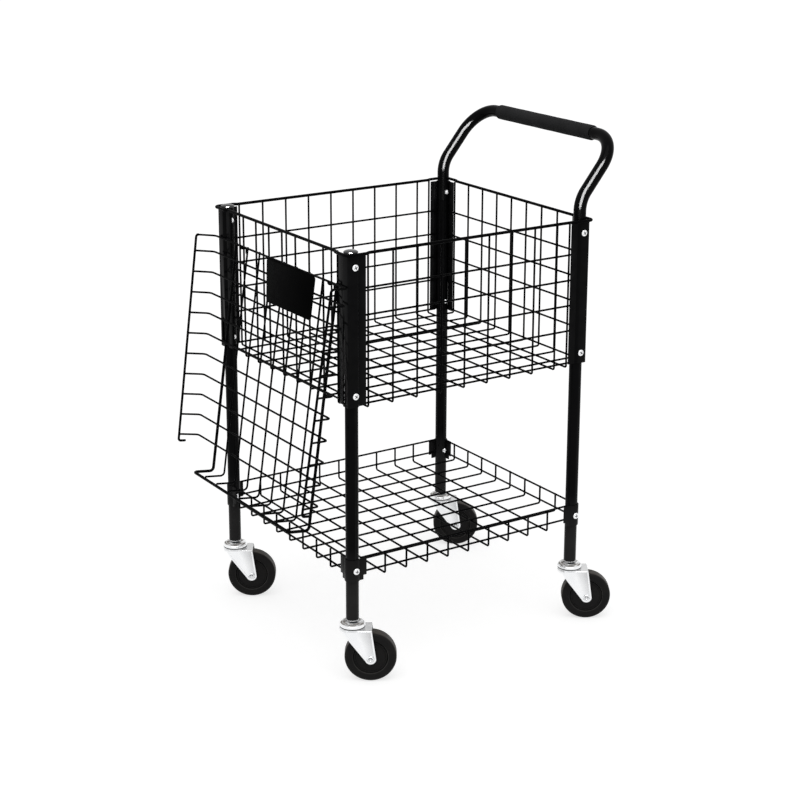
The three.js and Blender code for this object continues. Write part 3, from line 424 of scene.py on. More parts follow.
# %% [markdown]
# ## Shape helpers
# A shape is a list of corners and a list of faces. Nearly everything on this cart is a round bar
# along a bent line, a turned body or a folded sheet, so a few small makers do: an arc, a line with
# rounded bends, a sweep, a lathe and a fold. Curves with a bevel would also give bars, but a mesh
# shows what it is made of.

# %% Arcs and lines with rounded bends


def arc(centre, reach, start, end, steps):
    """Points of a round or oval arc between two angles, with both ends."""
    turns = [start + (end - start) * k / steps for k in range(steps + 1)]
    return [(centre[0] + reach[0] * math.cos(t), centre[1] + reach[1] * math.sin(t)) for t in turns]


def rounded(points, radius, steps=8, closed=False):
    """The line through the points, with a bend of the given radius at each inner corner."""
    radii = radius if isinstance(radius, (list, tuple)) else [radius] * len(points)
    line = []
    for i, corner in enumerate(points):
        if radii[i] == 0 or (not closed and i in (0, len(points) - 1)):
            line.append(corner.copy())
            continue
        back = (points[i - 1] - corner).normalized()
        ahead = (points[(i + 1) % len(points)] - corner).normalized()
        half = back.angle(ahead) / 2
        centre = corner + (back + ahead).normalized() * (radii[i] / math.sin(half))
        start = corner + back * (radii[i] / math.tan(half)) - centre
        end = corner + ahead * (radii[i] / math.tan(half)) - centre
        axis = start.cross(end).normalized()
        for k in range(steps + 1):
            turn = Matrix.Rotation((math.pi - 2 * half) * k / steps, 3, axis)
            line.append(turn @ start + centre)
    return line


def joined(shapes):
    """Several shapes as one."""
    verts, faces = [], []
    for more_verts, more_faces in shapes:
        first = len(verts)
        verts += more_verts
        faces += [tuple(first + i for i in face) for face in more_faces]
    return verts, faces


def moved(shape, matrix):
    """The same shape at another place."""
    return [matrix @ v for v in shape[0]], shape[1]


right_angle = rounded([Vector(), Vector((9, 0, 0)), Vector((9, 9, 0))], 3)
print("a right angle with a rounded bend has", len(right_angle), "points")

# %% Round bars along a line
CHAMFER_SHARE = 0.35


def bar(line, radius, sides=12, closed=False, chamfer=CHAMFER_SHARE):
    """A round bar along a line. Its cut ends have a small chamfer, as sheared wire has after coating."""
    count = len(line)
    last = count - 1
    ahead = [(line[(i + 1) % count] - line[i]).normalized() for i in range(count)]
    across = ahead[0].orthogonal().normalized()
    verts, rings = [], []

    def ring(centre, reach, before, after):
        mitre = (before + after).normalized()
        rise = after.cross(across)
        rings.append(range(len(verts), len(verts) + sides))
        for k in range(sides):
            turn = 2 * math.pi * k / sides
            spot = (across * math.cos(turn) + rise * math.sin(turn)) * reach
            verts.append(centre + spot - after * (spot.dot(mitre) / after.dot(mitre)))

    for i, centre in enumerate(line):
        before = ahead[i - 1] if i > 0 or closed else ahead[0]
        after = ahead[i] if i < last or closed else ahead[last - 1]
        if i > 0:
            across.rotate(before.rotation_difference(after))
        if i == 0 and not closed:
            ring(centre, radius * (1 - chamfer), before, after)
            ring(centre + after * radius * chamfer, radius, before, after)
        elif i == last and not closed:
            ring(centre - after * radius * chamfer, radius, before, after)
            ring(centre, radius * (1 - chamfer), before, after)
        else:
            ring(centre, radius, before, after)
    faces = []
    for i in range(len(rings) if closed else len(rings) - 1):
        low, high = rings[i], rings[(i + 1) % len(rings)]
        for k in range(sides):
            j = (k + 1) % sides
            faces.append((low[k], low[j], high[j], high[k]))
    if not closed:
        faces += [tuple(reversed(rings[0])), tuple(rings[-1])]
    return verts, faces


print("a straight bar has", len(bar([Vector(), Vector((0, 0, 9))], 2)[0]), "corners")

# %% Turned bodies
TURN_SIDES = 56
TINY = 1e-6
CORNER_ROOM = 0.45
SHARPEST = 0.05
FLATTEST = 1.53


def turned(profile, sides=TURN_SIDES):
    """A body turned about Z from points of radius and height; a radius of zero closes it."""
    verts, rings = [], []
    for radius, height in profile:
        count = sides if radius > TINY else 1
        rings.append(range(len(verts), len(verts) + count))
        for k in range(count):
            turn = 2 * math.pi * k / sides
            verts.append(Vector((radius * math.cos(turn), radius * math.sin(turn), height)))
    faces = []
    for low, high in zip(rings, rings[1:]):
        for k in range(sides):
            j = (k + 1) % sides
            if len(low) == 1 and len(high) > 1:
                faces.append((low[0], high[j], high[k]))
            elif len(high) == 1 and len(low) > 1:
                faces.append((low[k], low[j], high[0]))
            elif len(low) > 1:
                faces.append((low[k], low[j], high[j], high[k]))
    return verts, faces


def softened(profile, radius):
    """A profile with its corners rounded, less where a side is short. It is closed if its ends meet."""
    points = [Vector((r, h, 0)) for r, h in profile]
    closed = (points[0] - points[-1]).length < TINY
    if closed:
        points.pop()
    limit = []
    for i, corner in enumerate(points):
        back = points[i - 1] - corner
        ahead = points[(i + 1) % len(points)] - corner
        room = min(back.length, ahead.length) * CORNER_ROOM
        half = back.angle(ahead, 0) / 2
        limit.append(min(radius, room * math.tan(half)) if SHARPEST < half < FLATTEST else 0)
    line = rounded(points, limit, 3, closed)
    if closed:
        line.append(line[0])
    return [(p.x, p.y) for p in line]


print("turned bodies have", TURN_SIDES, "sides")

# %% Folded sheets


def folded(line, thickness, z0, z1):
    """A sheet that stands from z0 to z1 and follows a line in plan."""
    edges = [(b - a).normalized() for a, b in zip(line, line[1:])]
    verts = []
    for side in (thickness / 2, -thickness / 2):
        for z in (z0, z1):
            for i, spot in enumerate(line):
                before, after = edges[max(i - 1, 0)], edges[min(i, len(edges) - 1)]
                mean = (before + after).normalized()
                normal = Vector((-mean.y, mean.x, 0)) * (side / mean.dot(after))
                verts.append(Vector((spot.x + normal.x, spot.y + normal.y, z)))
    n = len(line)
    round_about = (0, n, 3 * n, 2 * n)
    faces = [round_about, (n - 1, 3 * n - 1, 4 * n - 1, 2 * n - 1)]
    for i in range(n - 1):
        for k in range(4):
            a, b = round_about[k], round_about[(k + 1) % 4]
            faces.append((a + i, a + i + 1, b + i + 1, b + i))
    return verts, faces


def block(x0, x1, y0, y1, z0, z1):
    """A plain box between two values of each axis."""
    verts = [Vector((x, y, z)) for x in (x0, x1) for y in (y0, y1) for z in (z0, z1)]
    faces = [(0, 1, 3, 2), (4, 6, 7, 5), (0, 4, 5, 1), (2, 3, 7, 6), (0, 2, 6, 4), (1, 5, 7, 3)]
    return verts, faces


def raised(outline, z0, z1):
    """A flat outline in plan raised from z0 to z1."""
    n = len(outline)
    verts = [Vector((p[0], p[1], z)) for z in (z0, z1) for p in outline]
    faces = [tuple(reversed(range(n))), tuple(range(n, 2 * n))]
    faces += [(i, (i + 1) % n, n + (i + 1) % n, n + i) for i in range(n)]
    return verts, faces


print("sheet helpers ready")

# %% [markdown]
# ## From a shape to a piece
# A mesh is made once and stands wherever it is needed: four casters share their meshes, and twelve
# screws share one. Cuts are booleans and rolled edges are a bevel, and both are applied at once, so
# that the mesh which is kept is the mesh which is seen.

# %% Meshes


def bare_mesh(name, shape):
    """A mesh in metres with all its faces turned outwards."""
    mesh = bpy.data.meshes.new(name)
    mesh.from_pydata([v * MM for v in shape[0]], [], shape[1])
    work = bmesh.new()
    work.from_mesh(mesh)
    bmesh.ops.recalc_face_normals(work, faces=work.faces)
    work.to_mesh(mesh)
    work.free()
    return mesh


def make_mesh(name, shape, finish, cuts=(), keep=(), bevel=0.0, sharp=38):
    """A finished mesh: what lies in cuts is taken away, only what lies in keep stays."""
    mesh = bare_mesh(name, shape)
    if cuts or keep or bevel:
        scene = bpy.context.scene.collection.objects
        blank = bpy.data.objects.new("blank", mesh)
        scene.link(blank)
        tools = []
        for operation, tool_shapes in (("INTERSECT", keep), ("DIFFERENCE", cuts)):
            for tool_shape in tool_shapes:
                tool = bpy.data.objects.new("tool", bare_mesh("tool", tool_shape))
                scene.link(tool)
                tools.append(tool)
                step = blank.modifiers.new("cut", "BOOLEAN")
                step.object = tool
                step.operation = operation
                step.solver = "EXACT"
        if bevel:
            step = blank.modifiers.new("edge", "BEVEL")
            step.width = bevel * MM
            step.segments = 2
            step.limit_method = "ANGLE"
            step.angle_limit = math.radians(50)
        bpy.context.view_layer.update()
        result = blank.evaluated_get(bpy.context.evaluated_depsgraph_get())
        mesh = bpy.data.meshes.new_from_object(result)
        mesh.name = name
        for used in (*tools, blank):
            bpy.data.objects.remove(used)
    mesh.shade_smooth()
    mesh.set_sharp_from_angle(angle=math.radians(sharp))
    mesh.materials.clear()
    mesh.materials.append(finishes[finish])
    return mesh


print("mesh helpers ready")

# %% Pieces


def stand(name, mesh, body, nodes=(), place=Matrix()):
    """A piece of that mesh at a place given in metres from the middle of the posts."""
    piece = bpy.data.objects.new(name, mesh)
    piece.matrix_world = cart @ place
    bpy.context.scene.collection.objects.link(piece)
    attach(piece, body)
    if nodes:
        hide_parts(*nodes)


def spot(x, y, z=0):
    """A place given in millimetres from the middle of the posts."""
    return Matrix.Translation((x * MM, y * MM, z * MM))


def spread(count, pitch):
    """Evenly spaced places about zero."""
    return [(i - (count - 1) / 2) * pitch for i in range(count)]


print("piece helpers ready")

# %% [markdown]
# ## Posts and plugs
# The posts are 25 mm round tubes. The front pair ends in a low domed plug, and the rear pair takes
# the legs of the handle. A lathe gives the tube wall with its softened cut edges, which a plain
# cylinder wouldn't have.

# %% Posts
TUBE_RADIUS = 12.5
TUBE_WALL = 1.5
TUBE_EDGE = 0.5


def tube_profile(foot, top):
    outer = TUBE_RADIUS
    inner = TUBE_RADIUS - TUBE_WALL
    wall = [(inner, foot), (outer, foot), (outer, top), (inner, top), (inner, foot)]
    return softened(wall, TUBE_EDGE)


for corner, (sx, sy) in CORNERS.items():
    top = POST_TOP if sx < 0 else HANDLE_SEAM
    mesh = make_mesh(f"tube_{corner}", turned(tube_profile(POST_FOOT, top)), "powder_coat")
    place = spot(sx * HALF_LENGTH, sy * HALF_WIDTH)
    stand(f"tube_{corner}", mesh, "cart_frame", [f"post_{corner}"], place)
print("four posts of", 2 * TUBE_RADIUS, "mm")

# %% Plugs in the front posts
PLUG_REACH = 13.5
PLUG_FLANGE = 2.0
PLUG_DOME = 4.0
PLUG_DEPTH = 15
PLUG_EDGE = 0.6
FIT = 0.3


def plug_profile():
    bore = TUBE_RADIUS - TUBE_WALL - FIT
    foot = POST_TOP + FIT
    rim = foot + PLUG_FLANGE
    end = foot - PLUG_DEPTH
    lower = [(0, end), (bore, end), (bore, foot), (PLUG_REACH, foot), (PLUG_REACH, rim)]
    dome = arc((0, rim), (PLUG_REACH, PLUG_DOME), 0, math.pi / 2, 12)
    return softened(lower, PLUG_EDGE) + dome[1:]


plug_mesh = make_mesh("plug_cap", turned(plug_profile()), "plug_plastic")
for corner in ("front_left", "front_right"):
    sx, sy = CORNERS[corner]
    place = spot(sx * HALF_LENGTH, sy * HALF_WIDTH)
    stand(f"plug_cap_{corner}", plug_mesh, "cart_frame", [f"plug_{corner}"], place)
print("two plugs of", 2 * PLUG_REACH, "mm")

# %% [markdown]
# ## Corner brackets
# Each upper bracket is one 2 mm sheet, folded to a square pocket round the post, then stepped back
# at 45 degrees to two flanges that the wire panels are welded to. A long slot is punched near its
# foot. The fold line is drawn in plan with small bend radii, given a thickness and raised.

# %% Upper brackets
SHEET = 2.0
POCKET = TUBE_RADIUS + FIT + SHEET / 2
STEP_DEPTH = 4.8
FLANGE_LINE = POCKET - STEP_DEPTH
FLANGE_REACH = 26
STEP_START = 5.7
STEP_END = STEP_START + STEP_DEPTH
STEP_RADIUS = 1.6
FOLD_RADIUS = 2.4
BRACKET_TOP = POST_TOP - 3
BRACKET_FOOT = BRACKET_TOP - 286
SLOT_HALF = 6
SLOT_HEIGHT = 56
SLOT_FOOT = BRACKET_FOOT + 6
SHEET_EDGE = 0.35


def bracket_line(sx, sy):
    side = [(-FLANGE_REACH, FLANGE_LINE), (-STEP_END, FLANGE_LINE), (-STEP_START, POCKET)]
    plan = side + [(POCKET, POCKET)] + [(v, u) for u, v in reversed(side)]
    points = [Vector((sx * u, sy * v, 0)) for u, v in plan]
    step = [STEP_RADIUS, STEP_RADIUS]
    return rounded(points, [0, *step, FOLD_RADIUS, *step, 0], 5)


def slot_tool(sx):
    low = SLOT_FOOT + SLOT_HALF
    high = SLOT_FOOT + SLOT_HEIGHT - SLOT_HALF
    end = (SLOT_HALF, SLOT_HALF)
    outline = arc((0, high), end, 0, math.pi, 24) + arc((0, low), end, math.pi, 2 * math.pi, 24)
    upright = Matrix.Rotation(math.pi / 2, 4, "X")
    outward = Matrix.Rotation(sx * math.pi / 2, 4, "Z")
    return moved(raised(outline, TUBE_RADIUS, POCKET + 2 * SHEET), outward @ upright)


for corner, (sx, sy) in CORNERS.items():
    sheet = folded(bracket_line(sx, sy), SHEET, BRACKET_FOOT, BRACKET_TOP)
    cuts = [slot_tool(sx)]
    mesh = make_mesh(f"corner_sheet_{corner}", sheet, "powder_coat", cuts=cuts, bevel=SHEET_EDGE)
    place = spot(sx * HALF_LENGTH, sy * HALF_WIDTH)
    nodes = [f"upper_bracket_{corner}"]
    stand(f"corner_sheet_{corner}", mesh, "cart_frame", nodes, place)
print("four upper brackets from", BRACKET_FOOT, "to", BRACKET_TOP)

# %% Lower brackets
LOWER_FOOT = POST_FOOT + 79
LOWER_HEIGHT = 44
NOTCH_WIDTH = 7
NOTCH_HEIGHT = 9


def wrap_line(sx, sy):
    start = math.pi - math.asin(FLANGE_LINE / POCKET)
    around = arc((0, 0), (POCKET, POCKET), start, math.pi / 2 - start, 30)
    plan = [(-FLANGE_REACH, FLANGE_LINE), *around, (FLANGE_LINE, -FLANGE_REACH)]
    return [Vector((sx * u, sy * v, 0)) for u, v in plan]


def notch_tools(sx, sy):
    near = FLANGE_REACH - NOTCH_WIDTH
    far = FLANGE_REACH + SHEET
    low = LOWER_FOOT - SHEET
    high = LOWER_FOOT + NOTCH_HEIGHT
    tools = []
    for u0, u1, v0, v1 in ((-far, -near, 0, far), (0, far, -far, -near)):
        x0, x1 = sorted((sx * u0, sx * u1))
        y0, y1 = sorted((sy * v0, sy * v1))
        tools.append(block(x0, x1, y0, y1, low, high))
    return tools


for corner, (sx, sy) in CORNERS.items():
    sheet = folded(wrap_line(sx, sy), SHEET, LOWER_FOOT, LOWER_FOOT + LOWER_HEIGHT)
    cuts = notch_tools(sx, sy)
    mesh = make_mesh(f"wrap_sheet_{corner}", sheet, "powder_coat", cuts=cuts, bevel=SHEET_EDGE)
    place = spot(sx * HALF_LENGTH, sy * HALF_WIDTH)
    nodes = [f"lower_bracket_{corner}"]
    stand(f"wrap_sheet_{corner}", mesh, "cart_frame", nodes, place)
print("four lower brackets from", LOWER_FOOT, "to", LOWER_FOOT + LOWER_HEIGHT)

# %% [markdown]
# ## Screws
# Each bracket is screwed through its post: a low domed head with a cross recess outside, and a
# capped hexagon nut inside. The recess is cut by two tapered wedges. It is also painted dark from
# its depth below the dome, a painted shade, because its bare zinc would only mirror the white
# studio. Each screw stands turned by another angle, as a hand leaves them.

# %% Tone of the screws
HEAD_RADIUS = 6.5
HEAD_RIM = 0.9
HEAD_EDGE = 0.3
HEAD_HEIGHT = 3.5
HEAD_SEAT = POCKET + SHEET / 2 + FIT
RECESS_SHALLOW = 0.1
RECESS_DEEP = 0.5


def painted_recess_shade(tree):
    """One inside the recess, from the depth below the dome, and zero on the rest of the screw: a painted
    shade.
    """
    x, y, z = place_of(tree)
    out = calculated(tree, "ADD", product(tree, x, x), product(tree, y, y))
    share = calculated(tree, "DIVIDE", out, (HEAD_RADIUS * MM) ** 2)
    flat = calculated(tree, "MAXIMUM", calculated(tree, "SUBTRACT", 1.0, share), 0.0)
    dome = calculated(tree, "POWER", flat, 0.5)
    dome = calculated(tree, "MULTIPLY", dome, (HEAD_HEIGHT - HEAD_RIM) * MM)
    surface = calculated(tree, "ADD", dome, (HEAD_SEAT + HEAD_RIM) * MM)
    depth = calculated(tree, "SUBTRACT", surface, z)
    inside = ranged(tree, depth, 0, 1, RECESS_SHALLOW * MM, RECESS_DEEP * MM)
    on_head = ranged(tree, z, 0, 1, HEAD_SEAT * MM, (HEAD_SEAT + HEAD_EDGE) * MM)
    return product(tree, inside, on_head)


zinc("screw_zinc", [(painted_recess_shade, (0.02, 0.02, 0.021), 1)])
print("recess dark from", RECESS_SHALLOW, "to", RECESS_DEEP, "mm below the dome")

# %% Screw head
RECESS_REACH = 5.4
RECESS_WIDTH = 2.0
RECESS_DEPTH = 2.6
RECESS_TIP = (0.6, 0.3)
RECESS_TURN = 0.35
RECESS_OVERRUN = 0.4
HEAD_BEVEL = 0.08


def head_profile():
    rim = [(0, 0), (HEAD_RADIUS - HEAD_EDGE, 0), (HEAD_RADIUS, HEAD_EDGE)]
    return rim + arc((0, HEAD_RIM), (HEAD_RADIUS, HEAD_HEIGHT - HEAD_RIM), 0, math.pi / 2, 10)


def recess_tools():
    signs = [(-1, -1), (1, -1), (1, 1), (-1, 1)]
    low = HEAD_HEIGHT - RECESS_DEPTH
    high = HEAD_HEIGHT + RECESS_OVERRUN
    verts = [Vector((s * RECESS_TIP[0], t * RECESS_TIP[1], low)) for s, t in signs]
    verts += [Vector((s * RECESS_REACH, t * RECESS_WIDTH / 2, high)) for s, t in signs]
    faces = [(3, 2, 1, 0), (4, 5, 6, 7), (0, 1, 5, 4), (1, 2, 6, 5), (2, 3, 7, 6), (3, 0, 4, 7)]
    turns = (RECESS_TURN, RECESS_TURN + math.pi / 2)
    return [moved((verts, faces), Matrix.Rotation(turn, 4, "Z")) for turn in turns]


head_blank = turned(head_profile(), 40)
head = make_mesh("screw_head", head_blank, "screw_zinc", cuts=recess_tools(), bevel=HEAD_BEVEL)
print("head with", len(head.polygons), "faces")

# %% Nut, shank and whole screw
SHANK_RADIUS = 3
SCREW_OVERLAP = 1
NUT_CORNER = 5.5
NUT_EDGE = 0.4
NUT_CAP = 0.78 * NUT_CORNER
NUT_HEX_HEIGHT = 3.4
NUT_HEIGHT = 6.0
NUT_SEAT = -TUBE_RADIUS - FIT


def nut_shape():
    block_side = [(0, 0), (NUT_CORNER, 0), (NUT_CORNER, NUT_HEX_HEIGHT), (0, NUT_HEX_HEIGHT)]
    hexagon = turned(softened(block_side, NUT_EDGE), 6)
    cap = [(0, NUT_HEX_HEIGHT - SCREW_OVERLAP)]
    cap += arc((0, NUT_HEX_HEIGHT), (NUT_CAP, NUT_HEIGHT - NUT_HEX_HEIGHT), 0, math.pi / 2, 8)
    return joined([hexagon, turned(cap, 32)])


head_shape = ([v.co / MM for v in head.vertices], [tuple(f.vertices) for f in head.polygons])
low = NUT_SEAT - SCREW_OVERLAP
high = HEAD_SEAT + SCREW_OVERLAP
shank = turned([(0, low), (SHANK_RADIUS, low), (SHANK_RADIUS, high), (0, high)], 24)
nut = moved(nut_shape(), Matrix.Translation((0, 0, NUT_SEAT)) @ Matrix.Rotation(math.pi, 4, "X"))
head_shape = moved(head_shape, Matrix.Translation((0, 0, HEAD_SEAT)))
screw_mesh = make_mesh("screw", joined([head_shape, shank, nut]), "screw_zinc", sharp=30)
print("screw with", len(screw_mesh.polygons), "faces")

# %% Twelve screws
SCREW_INSET = 21.5
CORNER_TWIST = 0.9
ROW_TWIST = 0.5
SCREW_LEVELS = {
    "top": BRACKET_TOP - SCREW_INSET,
    "middle": BRACKET_FOOT + SCREW_INSET,
    "low": LOWER_FOOT + LOWER_HEIGHT / 2,
}
for n, (corner, (sx, sy)) in enumerate(CORNERS.items()):
    for k, (row, height) in enumerate(SCREW_LEVELS.items()):
        outward = Matrix.Rotation(-sy * math.pi / 2, 4, "X")
        twist = Matrix.Rotation(CORNER_TWIST * n + ROW_TWIST * k, 4, "Z")
        place = spot(sx * HALF_LENGTH, sy * HALF_WIDTH, height) @ outward @ twist
        nodes = [f"bolt_{row}_{corner}"]
        stand(f"screw_{row}_{corner}", screw_mesh, "cart_frame", nodes, place)
print("twelve screws at", SCREW_LEVELS)

# %% [markdown]
# ## Basket
# The basket is welded from 4 mm wire. Uprights run down outside, turn under the floor and come up on
# the other side, and level wires lie inside them. A thick rim wire steps outwards round each corner
# bracket. Each wire is a round bar along its own bent line, so the bends stay round at any distance.

# %% Basket wires
WIRE = 2.0
CROSSING = 3.4
LEVEL_OFFSET = 5.7
UPRIGHT_OFFSET = LEVEL_OFFSET + CROSSING
WIRE_SETBACK = 15
WIRE_BEND = 4
FOOT_RISE = 7
BASKET_FLOOR = POST_TOP - 294
LEVEL_FIRST = POST_TOP - 67
LEVEL_PITCH = 51.3
SIDE_FIRST = HALF_LENGTH - 31
SIDE_PITCH = 54
END_PITCH = 51
LEVEL_ROWS = [LEVEL_FIRST - LEVEL_PITCH * row for row in range(4)]
SIDE_PLACES = [-SIDE_FIRST + SIDE_PITCH * k for k in range(9)] + [SIDE_FIRST]
END_PLACES = spread(9, END_PITCH)


def hoop(place, reach, floor, top, endwise):
    """A wire that goes down one wall, across the floor and up the other wall."""
    line = [(-reach, top), (-reach, floor), (reach, floor), (reach, top)]
    points = [Vector((s, place, z)) if endwise else Vector((place, s, z)) for s, z in line]
    return bar(rounded(points, WIRE_BEND), WIRE)


def side_wire(sign, height):
    """A level wire inside a long wall."""
    y = sign * (HALF_WIDTH + LEVEL_OFFSET)
    reach = HALF_LENGTH - WIRE_SETBACK
    return bar([Vector((-reach, y, height)), Vector((reach, y, height))], WIRE)


def end_wire(sign, height):
    """A level wire inside the front or rear wall."""
    x = sign * (HALF_LENGTH + LEVEL_OFFSET)
    reach = HALF_WIDTH - WIRE_SETBACK
    return bar([Vector((x, -reach, height)), Vector((x, reach, height))], WIRE)


SIDE_REACH = HALF_WIDTH + UPRIGHT_OFFSET
END_REACH = HALF_LENGTH + UPRIGHT_OFFSET
upper_floor = BASKET_FLOOR + CROSSING
basket = [hoop(x, SIDE_REACH, BASKET_FLOOR, POST_TOP, False) for x in SIDE_PLACES]
basket += [hoop(y, END_REACH, upper_floor, POST_TOP, True) for y in END_PLACES]
for sign in (-1, 1):
    basket += [side_wire(sign, height) for height in (BASKET_FLOOR + FOOT_RISE, *LEVEL_ROWS)]
    basket += [end_wire(sign, height) for height in (upper_floor + FOOT_RISE, *LEVEL_ROWS)]
mesh = make_mesh("basket_wires", joined(basket), "coated_wire")
basket_nodes = [f"basket_wall_{side}" for side in ("left", "right", "front", "rear")]
basket_nodes.append("basket_floor")
stand("basket_wires", mesh, "cart_frame", basket_nodes)
print("basket of", len(basket), "wires")

# %% Rim wire
RIM = 3.0
RIM_OFFSET = UPRIGHT_OFFSET + WIRE + FIT + RIM
RIM_CLEARANCE = 1.2
RIM_JOG = POCKET + SHEET / 2 + RIM_CLEARANCE + RIM
JOG_START = -30
JOG_END = -22
JOG_BEND = 4
RIM_CORNER = 10


def rim_line():
    points = []
    radii = []
    corner_radii = [JOG_BEND, JOG_BEND, RIM_CORNER, JOG_BEND, JOG_BEND]
    for sx, sy in ((1, 1), (-1, 1), (-1, -1), (1, -1)):
        side = [(JOG_START, RIM_OFFSET), (JOG_END, RIM_JOG), (RIM_JOG, RIM_JOG)]
        jog = side + [(v, u) for u, v in reversed(side[:2])]
        if sx * sy > 0:
            jog.reverse()
        for u, v in jog:
            points.append(Vector((sx * (HALF_LENGTH + u), sy * (HALF_WIDTH + v), POST_TOP)))
        radii += corner_radii
    return rounded(points, radii, closed=True)


mesh = make_mesh("rim_wire", bar(rim_line(), RIM, 20, closed=True), "coated_wire")
stand("rim_wire", mesh, "cart_frame", ["basket_rim"])
print("rim", RIM_OFFSET, "outside the posts,", RIM_JOG, "round the brackets")

# %% [markdown]
# ## Shelf
# The shelf is a shallow tray of the same wire, carried by the lower brackets. It has two level wires
# round its low walls. Its uprights are a little closer along the long sides than the basket's.

# %% Shelf wires
SHELF_FLOOR = POST_FOOT + 81
SHELF_SECOND = POST_FOOT + 94
SHELF_RIM = POST_FOOT + 122.6
SHELF_SIDE_PITCH = 48.5
SHELF_END_FIRST = -170.5
SHELF_END_PITCH = 52.2
SHELF_SIDE_PLACES = spread(9, SHELF_SIDE_PITCH)
SHELF_END_PLACES = [SHELF_END_FIRST + SHELF_END_PITCH * k for k in range(8)]
upper_floor = SHELF_FLOOR + CROSSING
shelf = [hoop(x, SIDE_REACH, SHELF_FLOOR, SHELF_RIM, False) for x in SHELF_SIDE_PLACES]
shelf += [hoop(y, END_REACH, upper_floor, SHELF_RIM, True) for y in SHELF_END_PLACES]
for height in (SHELF_RIM, SHELF_SECOND):
    for sign in (-1, 1):
        shelf += [side_wire(sign, height), end_wire(sign, height)]
mesh = make_mesh("shelf_wires", joined(shelf), "coated_wire")
stand("shelf_wires", mesh, "cart_frame", ["shelf_tray"])
print("shelf of", len(shelf), "wires")

# %% [markdown]
# ## Push handle and grip
# The handle is one tube: up out of the rear posts, outwards at a knee, and across at hand height.
# Many steps in each bend keep the long highlight on it unbroken. The foam grip is a soft sleeve with
# rolled ends, and its thickness wanders a little along it, as foam does.

# %% Handle
KNEE = POST_TOP + 38
BAR_X = HALF_LENGTH + 92
BAR_Z = KNEE + 112
KNEE_RADIUS = 60
CORNER_RADIUS = 65
HANDLE_CHAMFER = 0.04
side = [(HALF_LENGTH, HANDLE_SEAM + FIT), (HALF_LENGTH, KNEE), (BAR_X, BAR_Z)]
points = [Vector((x, -HALF_WIDTH, z)) for x, z in side]
points += [Vector((x, HALF_WIDTH, z)) for x, z in reversed(side)]
line = rounded(points, [0, KNEE_RADIUS, CORNER_RADIUS, CORNER_RADIUS, KNEE_RADIUS, 0], 20)
tube = bar(line, TUBE_RADIUS, 48, chamfer=HANDLE_CHAMFER)
mesh = make_mesh("handle_tube", tube, "powder_coat")
stand("handle_tube", mesh, "cart_frame", ["push_handle"])
print("handle bar at", BAR_X, BAR_Z)

# %% Grip
GRIP_HALF = 155
GRIP_RADIUS = 15.2
GRIP_BORE = TUBE_RADIUS + 0.05
GRIP_ROLL = 2
GRIP_WAVE = 0.105
GRIP_WAVES = 4.5


def grip_profile():
    roll = (GRIP_ROLL, GRIP_ROLL)
    face = GRIP_RADIUS - GRIP_ROLL
    end = GRIP_HALF - GRIP_ROLL
    low = arc((face, -end), roll, -math.pi / 2, 0, 5)
    high = arc((face, end), roll, 0, math.pi / 2, 5)
    sleeve = []
    for k in range(1, 40):
        share = k / 40
        swell = GRIP_WAVE * math.sin(2 * math.pi * GRIP_WAVES * share)
        sleeve.append((GRIP_RADIUS + swell, end * (2 * share - 1)))
    bore = [(GRIP_BORE, GRIP_HALF), (GRIP_BORE, -GRIP_HALF)]
    return [bore[1], *low[1:], *sleeve, *high, *bore]


mesh = make_mesh("grip", turned(grip_profile()), "grip_foam")
place = spot(BAR_X, 0, BAR_Z) @ Matrix.Rotation(math.pi / 2, 4, "X")
stand("grip", mesh, "cart_frame", ["foam_grip"], place)
print("grip of", 2 * GRIP_HALF, "mm")

# %% [markdown]
# ## Casters
# A caster has a ring with two ball races under a short neck, a pressed fork that turns below it, an
# axle and a wheel. The fork is one sheet bent to a channel and cut to a tapering outline, so it is
# made that way: a channel with round bends, kept only inside the outline. All four casters share
# their meshes. Their zinc is marked in bands and arcs that are dark in the photograph, where the
# real zinc mirrors darker things. Each mark is a mask by height or by distance from the axle.

# %% Bearing ring and neck
CROWN_TOP = 107.7
RING_FOOT = CROWN_TOP + FIT
RING_TOP = RING_FOOT + 11
RING_REACH = 25
RING_SHOULDER = 18.5
ZINC_EDGE = 0.6
DOME_FOOT = RING_FOOT + 4.4
NECK_TOP = POST_FOOT - FIT
ring_profile = [
    (0, RING_FOOT),
    (22.2, RING_FOOT),
    (22.4, RING_FOOT + 0.5),
    (24.3, RING_FOOT + 0.8),
    (24.6, RING_FOOT + 1.9),
    (24, RING_FOOT + 2.3),
    (21.6, RING_FOOT + 2.4),
    (21.6, RING_FOOT + 3.3),
    (24.2, RING_FOOT + 3.4),
    (24.8, RING_FOOT + 3.7),
]
dome_size = (RING_REACH - RING_SHOULDER, RING_TOP - DOME_FOOT)
ring_profile += arc((RING_SHOULDER, DOME_FOOT), dome_size, 0, math.pi / 2, 8)
ring_profile += [
    (17, RING_TOP - 0.5),
    (15.2, RING_TOP - 1.3),
    (13.8, RING_TOP - 0.9),
    (12.6, RING_TOP + 0.8),
    (12, RING_TOP + 2.6),
    (12.2, NECK_TOP - 1.2),
    (12.6, NECK_TOP - 0.4),
    (12.2, NECK_TOP),
    (10.7, NECK_TOP),
    (10.7, NECK_TOP + 20),
    (0, NECK_TOP + 20),
]
KINGPIN_FOOT = CROWN_TOP - 3.8
kingpin = [
    (0, KINGPIN_FOOT),
    (6.6, KINGPIN_FOOT),
    (7, KINGPIN_FOOT + 0.4),
    (7, KINGPIN_FOOT + 1),
    (4.5, KINGPIN_FOOT + 1),
    (4.5, RING_FOOT + 1),
    (0, RING_FOOT + 1),
]
ring_shape = joined([turned(softened(ring_profile, ZINC_EDGE), 72), turned(kingpin, 40)])
print("ring from", RING_FOOT, "to", RING_TOP, "with a neck to", NECK_TOP)

